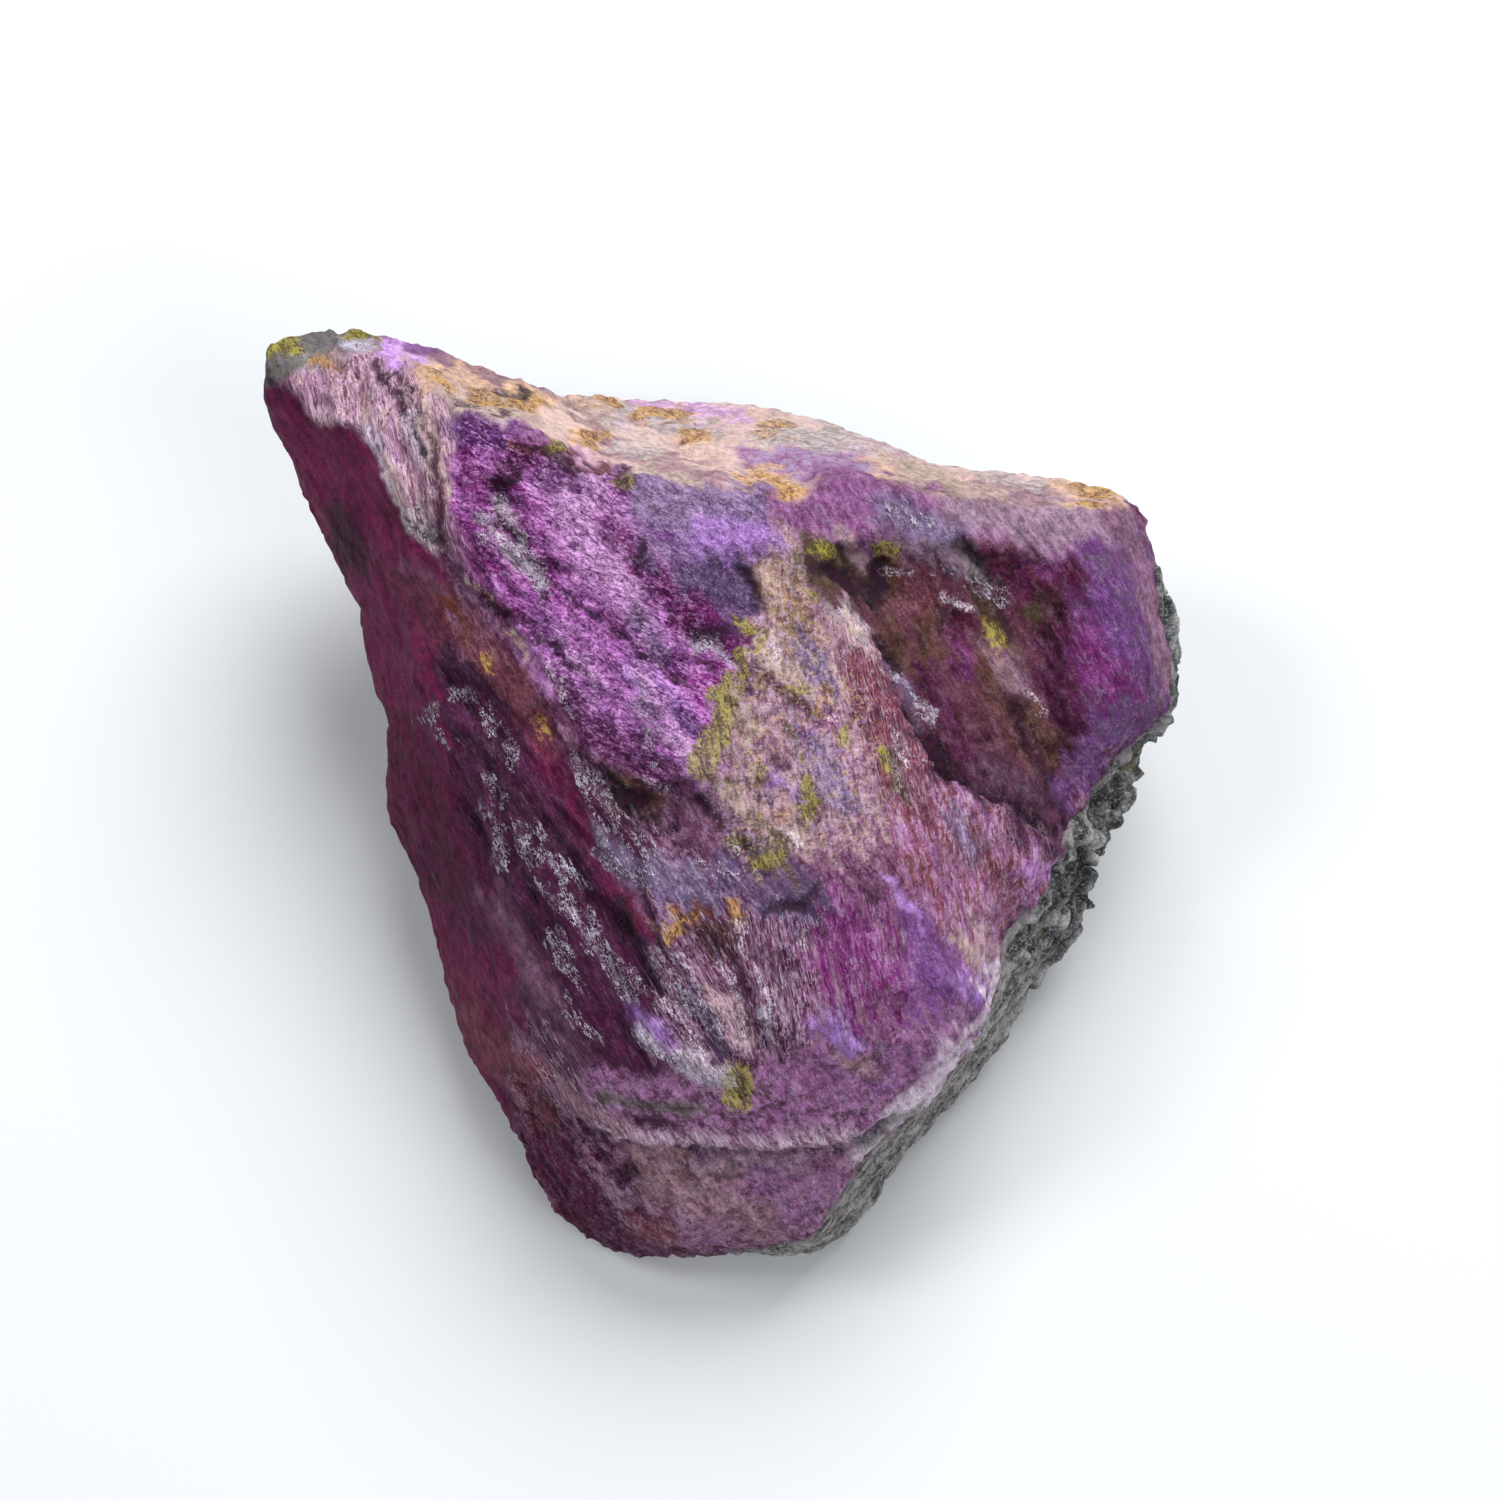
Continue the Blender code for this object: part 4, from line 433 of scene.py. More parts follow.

# %% [markdown]
# ## Veins and spots
# Over the ground colours lie seams of yellow-green, orange and cream minerals, black glassy cracks
# and rows of silvery splinters, whose glints the shader paints into the colour. One black line is
# painted shadow in the recess under the magenta face. Each is a short line on the map with a half
# width. A spot is a line of one point.

# %% Where each mineral shows
VEINS = {
    "olive": [
        ([(-0.6, 6.1), (-0.5, 5.0)], 0.4), ([(-1.2, 4.2), (-0.8, 4.0)], 0.3), ([(-1.9, 3.5), (-1.4, 2.8), (-1.6, 1.4)], 0.65),
        ([(-1.8, 1.1), (-2.6, 0.1), (-3.0, -0.9)], 0.8), ([(1.0, -1.2), (0.7, -1.9)], 0.2),
        ([(3.6, -2.0), (4.1, -3.0), (3.4, -4.4)], 0.35), ([(6.0, 1.4), (5.8, 0.5)], 0.3), ([(3.8, 10.1), (3.9, 9.4)], 0.2),
        ([(-0.5, 8.1), (-0.1, 7.5)], 0.35), ([(0.8, 6.9), (0.6, 6.2)], 0.25), ([(-30.0, 25.0), (-28.4, 25.4)], 0.4),
        ([(-25.0, 25.8), (-23.5, 25.8)], 0.4), ([(-12.5, 18.9), (-11.9, 18.8)], 0.4), ([(-0.8, -20.5), (-0.7, -21.6)], 1.0),
        ([(8.2, 12.8), (8.9, 12.5)], 0.4), ([(-1.2, -5.6), (-0.9, -5.9)], 0.25), ([(0.3, -7.1), (1.8, -6.9)], 0.25),
        ([(14.6, -18.4), (14.0, -19.4)], 0.3), ([(4.1, 12.8), (4.9, 12.4)], 0.35), ([(-8.3, 16.9), (-7.6, 16.8)], 0.3),
        ([(15.3, 7.6), (15.6, 6.6)], 0.3), ([(2.5, 3.8), (3.4, 3.9)], 0.2), ([(8.1, 0.0), (8.5, -1.2)], 0.25),
    ],
    "ochre": [
        ([(-10.1, 19.4), (-9.6, 19.1)], 0.4), ([(-4.0, 19.6), (-3.0, 19.5)], 0.3), ([(-9.8, 21.9), (-8.8, 21.8)], 0.4),
        ([(-6.6, 21.1), (-3.9, 20.9)], 0.35), ([(0.5, 20.3), (2.2, 20.2)], 0.3), ([(0.9, 16.5), (3.0, 16.2)], 0.35),
        ([(0.1, 17.2), (0.9, 16.9)], 0.3), ([(-14.2, 21.4), (-13.6, 21.2)], 0.4), ([(-5.0, -11.5), (-4.4, -11.2)], 0.3),
        ([(-4.0, -10.3), (-3.6, -10.1)], 0.2), ([(-0.9, -10.0), (-0.8, -10.9)], 0.2), ([(-13.1, 1.6), (-12.8, 0.9)], 0.25),
        ([(-16.6, 5.9), (-16.2, 5.2)], 0.25), ([(20.9, 16.1), (22.4, 15.9)], 0.35), ([(4.4, 4.1), (4.9, 3.9)], 0.15),
        ([(-19.6, 23.1), (-19.0, 22.8)], 0.35), ([(-17.5, 22.5), (-15.6, 21.8)], 0.3),
    ],
    "cream": [
        ([(-22.9, 18.6), (-22.2, 17.2), (-21.6, 15.2)], 0.28), ([(-20.6, 20.6), (-20.0, 18.8), (-19.6, 17.2)], 0.14),
        ([(-24.2, 22.0), (-23.6, 20.6)], 0.22), ([(-21.6, 24.4), (-20.9, 23.8)], 0.2), ([(-19.4, 23.4), (-16.9, 22.6), (-14.7, 22.0)], 0.3),
        ([(-18.4, 21.6), (-15.6, 20.8), (-13.1, 20.4)], 0.25), ([(-14.9, 7.5), (-14.2, 6.4), (-13.6, 5.5)], 0.12),
        ([(-17.4, 10.5), (-16.5, 9.8), (-15.9, 9.1)], 0.1), ([(5.8, 8.4), (6.6, 7.4)], 0.3), ([(2.4, -5.2), (3.1, -5.9)], 0.3),
        ([(13.0, -11.9), (13.6, -12.6)], 0.25), ([(-12.6, 22.6), (-10.9, 21.4), (-9.4, 20.1)], 0.1),
        ([(8.4, 18.5), (11.2, 17.8)], 0.3), ([(13.4, 16.2), (15.9, 15.8)], 0.2),
        ([(-20.6, 22.5), (-19.6, 19.4), (-18.6, 15.6)], 0.1), ([(1.2, 11.9), (1.6, 9.4)], 0.12), ([(4.5, 6.9), (6.2, 3.1)], 0.1),
    ],
    "pearl": [
        ([(8.2, 11.2), (9.9, 11.0)], 0.08), ([(5.6, 8.6), (7.1, 7.6)], 0.30), ([(8.6, 5.1), (9.6, 4.1)], 0.24),
        ([(9.4, 4.6), (9.6, 4.2)], 0.18), ([(10.4, 3.2), (11.4, 2.1)], 0.27), ([(12.1, 9.5), (13.6, 8.8)], 0.10),
        ([(17.2, 3.8), (18.5, 2.4)], 0.12), ([(-16.6, 14.5), (-15.9, 15.1)], 0.18),
        ([(-16.1, 13.8), (-14.8, 12.1), (-12.9, 10.4)], 0.27), ([(-15.2, 14.9), (-14.4, 13.4), (-13.2, 11.5)], 0.11),
        ([(-5.4, -13.0), (-4.1, -15.0), (-2.9, -17.5)], 0.08), ([(-4.6, -12.5), (-3.1, -14.7), (-1.8, -18.1)], 0.09),
        ([(-5.4, -15.6), (-3.8, -17.9), (-2.4, -19.6)], 0.10), ([(-1.9, -13.1), (-0.8, -15.6), (-0.3, -17.9)], 0.08),
        ([(0.3, -13.4), (1.0, -15.6), (1.4, -17.1)], 0.08), ([(3.4, -10.9), (3.5, -12.1)], 0.08), ([(-0.8, -10.9), (-0.1, -13.0)], 0.08),
        ([(-4.8, -18.8), (-3.1, -19.5), (-1.6, -19.9)], 0.21), ([(-12.6, 5.4), (-11.8, 3.8), (-10.8, 2.1)], 0.08),
        ([(-3.5, 6.5), (-2.6, 6.1), (-1.5, 5.5)], 0.12), ([(5.0, 2.4), (5.5, 1.8)], 0.10), ([(8.9, 1.1), (9.5, -0.9)], 0.08),
        ([(1.6, 6.9), (1.7, 5.4)], 0.09), ([(2.0, -5.1), (3.0, -6.0)], 0.15), ([(-6.5, -1.9), (-5.1, -2.4)], 0.10),
    ],
    "dark": [
        ([(-12.6, 10.5), (-10.0, 8.6), (-7.2, 6.3), (-3.6, 3.9)], 0.10), ([(-14.8, 13.4), (-13.9, 12.1), (-13.1, 11.2)], 0.12),
        ([(-15.6, 15.6), (-15.4, 14.6), (-15.1, 13.6)], 0.10), ([(-15.8, 8.9), (-13.6, 7.9)], 0.2),
        ([(-15.5, 16.5), (-14.6, 17.0)], 0.35), ([(-16.2, 8.9), (-14.4, 8.2), (-12.6, 6.8), (-11.4, 5.1)], 0.14),
        ([(-21.5, 14.4), (-20.3, 13.7), (-19.2, 12.9)], 0.15), ([(-19.3, 15.1), (-19.0, 13.2)], 0.14),
        ([(-6.8, 12.9), (-6.9, 11.4)], 0.2), ([(-0.4, 11.0), (0.4, 9.8)], 0.2), ([(-2.8, 6.9), (-1.5, 7.4)], 0.4),
        # the first row is a real groove in the recess, painted black as shadow under the magenta face's edge
        ([(-8.6, -2.9), (-6.8, -3.1)], 0.35), ([(-0.6, -21.0), (-0.6, -21.5)], 0.22), ([(-0.3, -1.9), (-0.1, -2.4)], 0.16), ([(1.6, -0.6), (2.2, -0.9)], 0.2),
        ([(0.6, -3.3)], 0.16), ([(1.4, -3.4)], 0.14), ([(-1.0, 3.0)], 0.14), ([(1.0, -10.0), (3.1, -9.8), (4.2, -8.8)], 0.3),
        ([(4.1, 11.6), (6.9, 10.4)], 0.5), ([(7.9, 11.6), (8.1, 9.5)], 0.4), 
        ([(11.0, 0.6), (12.0, -0.5)], 0.4), ([(-15.5, 22.1), (-14.1, 22.2)], 0.2), ([(-18.4, 21.9), (-17.2, 21.6)], 0.2),
        ([(-16.1, 21.1), (-15.1, 21.0)], 0.18), ([(-14.4, 19.3), (-11.9, 18.2), (-10.0, 17.6)], 0.16),
        ([(-6.8, -23.3), (-5.2, -23.6)], 0.25), ([(-3.6, 5.6), (-2.4, 4.9)], 0.14), ([(-12.2, 11.8), (-11.2, 10.9)], 0.1),
        ([(-15.3, 14.7), (-13.8, 11.9), (-12.6, 9.7)], 0.1), ([(-2.4, -11.6), (-0.9, -13.2), (-0.3, -15.5)], 0.16),
        ([(-23.0, 23.6), (-21.8, 21.8), (-20.3, 18.4)], 0.11), ([(-21.9, 23.6), (-19.9, 19.4), (-19.2, 16.9)], 0.12), ([(-3.1, -3.1), (-1.9, -5.0)], 0.2),
        ([(-6.9, -8.1), (-5.6, -12.5), (-3.8, -16.2)], 0.14), ([(15.6, 9.4), (16.2, 6.9)], 0.2), ([(-8.6, 17.5), (-8.0, 16.8)], 0.2),
    ],
    "silver": [
        ([(-19.8, 2.4), (-19.4, 1.2), (-18.8, 0.2)], 0.30), ([(-21.1, 2.3), (-20.7, 2.1)], 0.25), ([(-18.4, 3.9), (-16.2, 3.0)], 0.43),
        ([(-16.5, 2.0), (-15.3, 0.9), (-14.5, -0.6)], 0.50), ([(-16.4, -1.6), (-15.4, -3.0)], 0.37),
        ([(-16.5, -3.5), (-15.6, -5.3), (-15.6, -7.4)], 0.50), ([(-14.0, -4.9), (-12.8, -6.8), (-11.2, -8.5)], 0.68),
        ([(-11.2, -9.7), (-10.1, -11.2), (-9.0, -12.4)], 0.74), ([(-9.0, -12.6), (-7.1, -15.0)], 0.62), ([(-13.5, -8.1), (-11.9, -10.0)], 0.37),
        ([(-11.1, -0.8), (-9.4, -3.0), (-7.6, -4.4)], 0.35), ([(-8.9, -4.5), (-7.2, -5.5), (-6.2, -6.2)], 0.74),
        ([(-9.1, -6.2), (-7.5, -7.5), (-6.1, -8.4)], 0.62), ([(-15.6, 15.3), (-15.0, 13.4), (-13.8, 11.1), (-12.9, 10.0)], 0.43),
        ([(-17.1, 14.5), (-16.2, 12.8)], 0.50), ([(-5.9, -12.8), (-4.9, -14.4), (-3.6, -16.2)], 0.50),
        ([(-6.9, -17.9), (-4.4, -19.5), (-1.2, -20.8)], 0.37), ([(-21.2, 14.1), (-20.3, 13.2)], 0.30), ([(-20.9, 15.3), (-19.5, 13.6)], 0.25),
        ([(9.7, 3.9), (11.2, 2.1)], 0.37), ([(8.9, 1.1), (9.4, -0.5)], 0.25), ([(-6.9, 3.1), (-5.6, -0.6)], 0.50),
        ([(-12.6, -11.2), (-10.6, -14.7)], 0.50), ([(-3.1, 6.6), (-2.1, 5.9)], 0.50), ([(-11.9, -15.6), (-9.4, -18.1)], 0.43),
        ([(-3.1, -7.5), (-0.6, -8.1)], 0.40), ([(8.8, 15.0), (11.2, 14.4)], 0.50),
        ([(11.9, 11.2), (15.6, 9.4)], 0.40), ([(-1.4, -5.5), (-0.8, -6.0)], 0.40), ([(1.0, -16.2), (1.6, -17.9)], 0.50),
    ],
}
print(sum(len(rows) for rows in VEINS.values()), "veins and spots")

# %% [markdown]
# ## Edges where the break steps down
# The hammer left a few clear steps: the lip over the foot, the wall of the hollow, the crack
# between flank and magenta face. Each is a line with a drop and a reach in millimetres. The side
# on the left of the line's run is the high one.

# %% Step lines
STEPS = [
    ([(-14.5, -19.4), (-11.9, -22.1), (-9.4, -23.8), (-6.2, -24.7), (0.6, -24.9), (6.2, -24.6), (8.4, -23.0)], 0.8, 1.4),
    ([(-5.9, -5.8), (-9.4, -2.9), (-11.1, -0.8)], 0.7, 1.2),
    ([(-29.9, 22.9), (-28.1, 21.9), (-27.4, 20.6), (-25.3, 20.3), (-24.1, 20.0), (-23.2, 18.8), (-22.0, 15.3), (-21.6, 14.1)], 0.5, 1.0),
    ([(-18.9, 12.1), (-17.5, 10.3), (-16.2, 9.6), (-14.7, 7.8), (-12.8, 5.3)], 0.6, 1.0),
    ([(-17.5, 12.8), (-18.4, 15.6), (-18.6, 18.4), (-18.2, 20.8)], 0.4, 0.7),
    ([(-18.2, 21.1), (-14.4, 20.1), (-11.9, 18.8), (-8.1, 17.1), (-6.6, 16.2)], 0.4, 0.7),
    ([(-16.6, 15.1), (-15.1, 12.6), (-12.8, 9.9)], 0.35, 0.7),
    ([(-11.9, 0.9), (-9.4, -0.9), (-6.2, -2.1), (-3.6, -1.8)], 0.6, 1.0),
    ([(-3.1, -1.6), (-1.8, 3.1), (-0.5, 6.2)], 0.3, 0.6),
    ([(19.1, -5.8), (15.6, -3.5), (11.9, -1.8), (9.7, 1.4), (8.2, 5.3), (6.2, 8.6)], 0.9, 1.4),
    ([(3.1, 12.6), (6.2, 12.9), (8.1, 11.9)], 0.4, 0.8),
    ([(19.8, 11.8), (20.5, 6.9), (20.6, 1.9), (19.4, -2.5)], 0.2, 1.6),
    ([(-23.6, 24.1), (-21.8, 21.8), (-20.6, 19.4), (-19.6, 17.2)], 0.35, 0.6),
    ([(13.6, -13.8), (10.9, -11.2), (8.1, -7.2)], 0.4, 0.8),
    ([(-9.0, 19.8), (-10.9, 21.4), (-12.6, 22.8)], 0.5, 0.8),
    ([(-6.9, -15.0), (-9.4, -10.9), (-11.9, -7.0), (-14.4, -3.1), (-16.1, 0.3)], 0.6, 0.9),
    ([(-11.9, -16.9), (-14.4, -12.5), (-16.9, -6.9), (-18.0, -3.1)], 0.4, 0.9),
    ([(-6.9, -6.2), (-5.9, -11.2), (-3.1, -16.2), (-0.6, -19.4)], 0.4, 0.8),
    ([(-6.9, 13.1), (-5.9, 10.6), (-3.1, 7.8), (-0.9, 6.9)], 0.5, 0.9),
    ([(-9.4, 8.1), (-11.9, 9.4), (-14.4, 11.9)], 0.25, 0.6), ([(-3.1, 3.8), (-6.9, 6.9), (-10.0, 7.8)], 0.25, 0.6),
    ([(-6.9, -0.6), (-10.0, 3.1), (-11.9, 5.6)], 0.25, 0.6), ([(-7.5, 11.9), (-10.0, 14.4), (-13.1, 15.9)], 0.25, 0.6),
]
print(len(STEPS), "step lines")

# %% [markdown]
# ## A fine skin over each solid
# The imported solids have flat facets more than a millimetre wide. The skin is an even, much finer
# mesh round the same solid, so that ledges and splinters can be real shape. Voxel remesh gives
# even squares whatever the facets were. Subdivision would keep the facets' own long triangles.

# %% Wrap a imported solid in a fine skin
STICHTITE_GRAIN = 0.52
SERPENTINE_GRAIN = 0.27


def read_points(obj):
    flat = np.empty(len(obj.data.vertices) * 3)
    obj.data.vertices.foreach_get("co", flat)
    return flat.reshape(-1, 3)


def read_normals(obj):
    flat = np.empty(len(obj.data.vertices) * 3)
    obj.data.vertices.foreach_get("normal", flat)
    return flat.reshape(-1, 3)


def write_points(obj, points):
    obj.data.vertices.foreach_set("co", points.ravel())
    obj.data.update()


def fine_skin(node, name, grain):
    """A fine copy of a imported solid, in millimetres while it is worked on."""
    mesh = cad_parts[node].data.copy()
    mesh.name = name
    skin = bpy.data.objects.new(name, mesh)
    bpy.context.scene.collection.objects.link(skin)
    write_points(skin, read_points(skin) / MM)
    remesh = skin.modifiers.new("even skin", "REMESH")
    remesh.mode = "VOXEL"
    remesh.voxel_size = grain
    wear = skin.modifiers.new("worn edges", "SMOOTH")
    wear.factor = 0.5
    wear.iterations = 2
    evaluated = skin.evaluated_get(bpy.context.evaluated_depsgraph_get())
    fine = bpy.data.meshes.new_from_object(evaluated)
    skin.modifiers.clear()
    skin.data = fine
    print(name, "has", len(fine.vertices), "corners")
    return skin


def halve_towards_eye(skin, least_turn):
    """Split the squares that face the eye into four, so that the detail goes where it shows."""
    work = bmesh.new()
    work.from_mesh(skin.data)
    toward = Vector(TOWARD)
    seen = {edge for face in work.faces if face.normal.dot(toward) > least_turn for edge in face.edges}
    bmesh.ops.subdivide_edges(work, edges=list(seen), cuts=1, use_grid_fill=True, smooth=1.0)
    bmesh.ops.triangulate(work, faces=[face for face in work.faces if len(face.verts) > 4])
    work.to_mesh(skin.data)
    work.free()
    print(skin.name, "has", len(skin.data.vertices), "corners after the split")


stichtite = fine_skin("stichtite", "stichtite_lump", STICHTITE_GRAIN)
halve_towards_eye(stichtite, 0.12)
serpentine = fine_skin("serpentine", "serpentine_crust", SERPENTINE_GRAIN)

# %% [markdown]
# ## Closing the contact
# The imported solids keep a 0.3 mm gap so that they don't touch. On the real stone the minerals have
# grown together, so each skin swells a little where it faces the other one and the gap closes.

# %% Swell the skins into each other
def swell_towards(skin, other_tree, reach, swell):
    points = read_points(skin)
    normals = read_normals(skin)
    gaps = np.array([other_tree.find_nearest(Vector(p), reach)[3] or 9.9 for p in points])
    share = 1 - smooth_step(gaps, 0.25, reach)
    write_points(skin, points + normals * (swell * share)[:, None])
    return share


def tree_of(skin):
    points = [Vector(p) for p in read_points(skin)]
    return BVHTree.FromPolygons(points, [tuple(f.vertices) for f in skin.data.polygons])


stichtite_tree = tree_of(stichtite)
serpentine_tree = tree_of(serpentine)
stichtite_contact = swell_towards(stichtite, serpentine_tree, 0.9, 0.22)
serpentine_contact = swell_towards(serpentine, stichtite_tree, 0.9, 0.22)
print("contact found on", int((stichtite_contact > 0.5).sum()), "corners of the stichtite")

# %% [markdown]
# ## Relief
# Real broken stone has ledges along its fibres, small grains and pits. The relief is noise that is
# drawn out along the fibre direction, so a ledge is long one way and narrow the other. Sculpting by
# hand would look the same but couldn't be measured or repeated.

# %% Noise along the fibres
FLANK_FIBRES = math.radians(-58.0)
MAGENTA_FIBRES = math.radians(-30.0)
COLUMN_FIBRES = math.radians(-77.0)
NOISE_SEED = 7
noise.seed_set(NOISE_SEED)


def drawn_out(sight, angle, length, width, seed):
    """Noise drawn out along one direction of the map, mostly from -0.5 to 0.5."""
    along = (sight[:, 0] * math.cos(angle) + sight[:, 1] * math.sin(angle)) / length
    across = (sight[:, 1] * math.cos(angle) - sight[:, 0] * math.sin(angle)) / width
    depth = sight[:, 2] / (2.5 * width) + seed
    return np.array([noise.noise(Vector(p)) for p in zip(along, across, depth)])


def ledges(sight, angle, length, width, seed):
    """Long narrow ledges along one direction of the map, from -1 to 1."""
    return 1 - 3.2 * np.abs(drawn_out(sight, angle, length, width, seed)).clip(0, 0.625)


def grains(points, size, seed):
    """Small rounded grains and pits, from -1 to 1."""
    found = [noise.noise(Vector(p)) for p in points / size + seed]
    return (np.array(found) * 2.2).clip(-1, 1)


def chips(points, size, seed):
    """Flat chips, each tilted its own way, from -1 to 1, and 0 to 1 for how near a joint is."""
    heights, joints = [], []
    for place in points / size + seed:
        gaps, middles = noise.voronoi(Vector(place))[:2]
        lean = noise.noise_vector(middles[0] * 3.7)
        heights.append(1.4 * noise.noise(middles[0] * 5.3) + 2.2 * lean.dot(Vector(place) - middles[0]))
        joints.append(1 - min(1.0, (gaps[1] - gaps[0]) / 0.15))
    return np.array(heights).clip(-1, 1), np.array(joints)


# %% [markdown]
# ## Which face each corner of the skin lies on
# The map covers the purple side. Corners that face away from the eye get the plain break and the
# hidden side's colour.

# %% Look up the faces once for the stichtite
def turned_to_eye(skin):
    return smooth_step(read_normals(skin) @ TOWARD, -0.15, 0.25)


stichtite_sight = on_sight_map(read_points(stichtite))
points = read_points(stichtite)
fibre_run = np.array([math.cos(FLANK_FIBRES), math.sin(FLANK_FIBRES)])
splintered = drawn_out(stichtite_sight, FLANK_FIBRES, 4.0, 0.5, 3.0)
rough_edge = 0.13 * np.column_stack([grains(points, 0.6, 3.0), grains(points, 0.6, 9.0)])
wander = 0.22 * np.column_stack([grains(points, 1.7, 4.0), grains(points, 1.7, 8.0)])
splintered *= (2.2 - 1.8 * smooth_step(stichtite_sight[:, 1], 11.0, 15.0)) * smooth_step(stichtite_sight[:, 1], -21.0, -17.0)
edge_on = 1 - smooth_step(read_normals(stichtite) @ TOWARD, 0.30, 0.60)
wander += 0.55 * edge_on[:, None] * np.column_stack([grains(points, 2.2, 61.0), 0.6 * grains(points, 2.2, 65.0)])
calm_places = stichtite_sight[:, :2] + rough_edge
stichtite_places = calm_places + wander + splintered[:, None] * fibre_run
stichtite_seen = turned_to_eye(stichtite)
face_share = {name: field(stichtite_places, FACES[name], 0.45) for name in FINISHES}
shares = np.tile(np.array(PLAIN_SHARES), (len(stichtite_places), 1))
for name, finish in FINISHES.items():
    shares += (np.array(finish[2:]) - shares) * face_share[name][:, None]
ledge_share, grain_share, glitter_share, streak_share = shares.T
ledge_share = ledge_share + 0.20 * edge_on
grain_share = grain_share + 0.35 * edge_on
specked = np.zeros(len(stichtite_places))
for name, share in (("column", 1.0), ("top", 0.5), ("foot", 0.4), ("hollow", 0.12), ("pink_slope", 0.25)):
    specked = np.maximum(specked, share * face_share[name])
specked *= smooth_step(stichtite_places[:, 0], -10.0, -4.0)
low_fibres = np.maximum(face_share["magenta"], 0.7 * face_share["lilac"])
upright = np.zeros(len(stichtite_places))
for name in ("column", "red_band", "core", "pink_slope", "streaks"):
    upright = np.maximum(upright, face_share[name])
upright = np.maximum(upright, face_share["fibre_face"] * smooth_step(stichtite_places[:, 0], -3.0, 0.5))
print("shares of the map found for", len(face_share), "faces")

# %% Raise the stichtite's relief
def raise_relief(skin, height):
    write_points(skin, read_points(skin) + read_normals(skin) * height[:, None])


def along_faces(steep, level, standing):
    """Relief that follows the level fibres on the magenta face and the upright ones in the middle."""
    found = steep + (level - steep) * low_fibres
    return found + (standing - found) * upright


points = read_points(stichtite)
broad = along_faces(
    ledges(stichtite_sight, FLANK_FIBRES, 4.5, 1.1, 5.0),
    ledges(stichtite_sight, MAGENTA_FIBRES, 2.6, 1.0, 15.0),
    ledges(stichtite_sight, COLUMN_FIBRES, 4.0, 1.0, 45.0),
)
narrow = along_faces(
    ledges(stichtite_sight, FLANK_FIBRES, 2.0, 0.5, 25.0),
    ledges(stichtite_sight, MAGENTA_FIBRES, 1.3, 0.5, 35.0),
    ledges(stichtite_sight, COLUMN_FIBRES, 2.0, 0.5, 55.0),
)
height = ledge_share * (0.28 * broad + 0.13 * narrow)
fine_chips, fine_joints = chips(points, 0.9, 7.0)
broad_chips, broad_joints = chips(points, 2.1, 17.0)
height += grain_share * (0.11 * fine_chips + 0.16 * broad_chips - 0.05 * fine_joints - 0.08 * broad_joints)
height += 0.07 * grains(points, 3.0, 27.0)
for name, depth in (("dark", -0.20), ("olive", 0.06), ("silver", 0.04)):
    for line, half_width in VEINS[name]:
        height += depth * vein(calm_places, line, half_width) * stichtite_seen
for line, drop, reach in STEPS:
    signed, off_end = side_of_line(calm_places, line)
    step = 0.5 * drop * np.tanh(signed / 0.2) * np.exp(-np.abs(signed) / reach) * (1 - off_end)
    height += step * stichtite_seen
height *= 1 - stichtite_contact
raise_relief(stichtite, height)
print("stichtite relief from", round(height.min(), 2), "to", round(height.max(), 2), "mm")

# %% Raise the serpentine's relief
points = read_points(serpentine)
serpentine_sight = on_sight_map(points)
jagged = smooth_step(serpentine_sight[:, 1], -20.0, -8.0)
block_height, block_joint = chips(points, 1.9, 2.0)
chip_height, chip_joint = chips(points, 0.75, 6.0)
crust_height = (0.12 + 0.38 * jagged) * block_height - 0.14 * block_joint
crust_height += (0.05 + 0.09 * jagged) * chip_height - 0.05 * chip_joint
crust_height += 0.05 * grains(points, 1.4, 22.0)
rest_face = smooth_step(points[:, 2], 0.05, 0.6)
crust_height *= (1 - serpentine_contact) * rest_face
raise_relief(serpentine, crust_height)
print("serpentine relief from", round(crust_height.min(), 2), "to", round(crust_height.max(), 2), "mm")

# %% [markdown]
# ## Marks for the materials
# The map's colours and shares are stored on the skins as attributes. The materials read them and
# break their edges up with noise, so a seam ends in specks as on the stone.

# %% Store the marks
def keep_mark(skin, name, values):
    mark = skin.data.attributes.new(name, "FLOAT", "POINT")
    mark.data.foreach_set("value", np.asarray(values, np.float32))


def keep_colour(skin, name, colours):
    mark = skin.data.attributes.new(name, "FLOAT_COLOR", "POINT")
    rows = np.column_stack([colours, np.ones(len(colours))]).astype(np.float32)
    mark.data.foreach_set("color", rows.ravel())


def veins_at(places, name, seen):
    found = np.zeros(len(places))
    for line, half_width in VEINS[name]:
        found = np.maximum(found, vein(places, line, half_width, fade=0.7))
    return found * seen


def lay_colours(first, second, colours, share):
    """Lay two colours over the two that are there, by a share for each corner."""
    for under, name in ((first, colours[0]), (second, colours[1])):
        under += (np.array(PALETTE[name]) - under) * share[:, None]


def hidden_side_colours(points):
    """Plum with wine red, mauve and sandy fields, for the sides that the map can't reach."""
    first = np.tile(np.array(PALETTE["wine"]), (len(points), 1))
    second = np.tile(np.array(PALETTE["plum"]), (len(points), 1))
    pinker = 0.75 * smooth_step(grains(points, 7.0, 40.0), -0.3, 0.6)
    lay_colours(first, second, ("mauve", "dark mauve"), pinker)
    warmer = 0.6 * smooth_step(grains(points, 3.0, 50.0), 0.35, 0.95)
    lay_colours(first, second, ("ashen pink", "dusty mauve"), warmer)
    return first, second


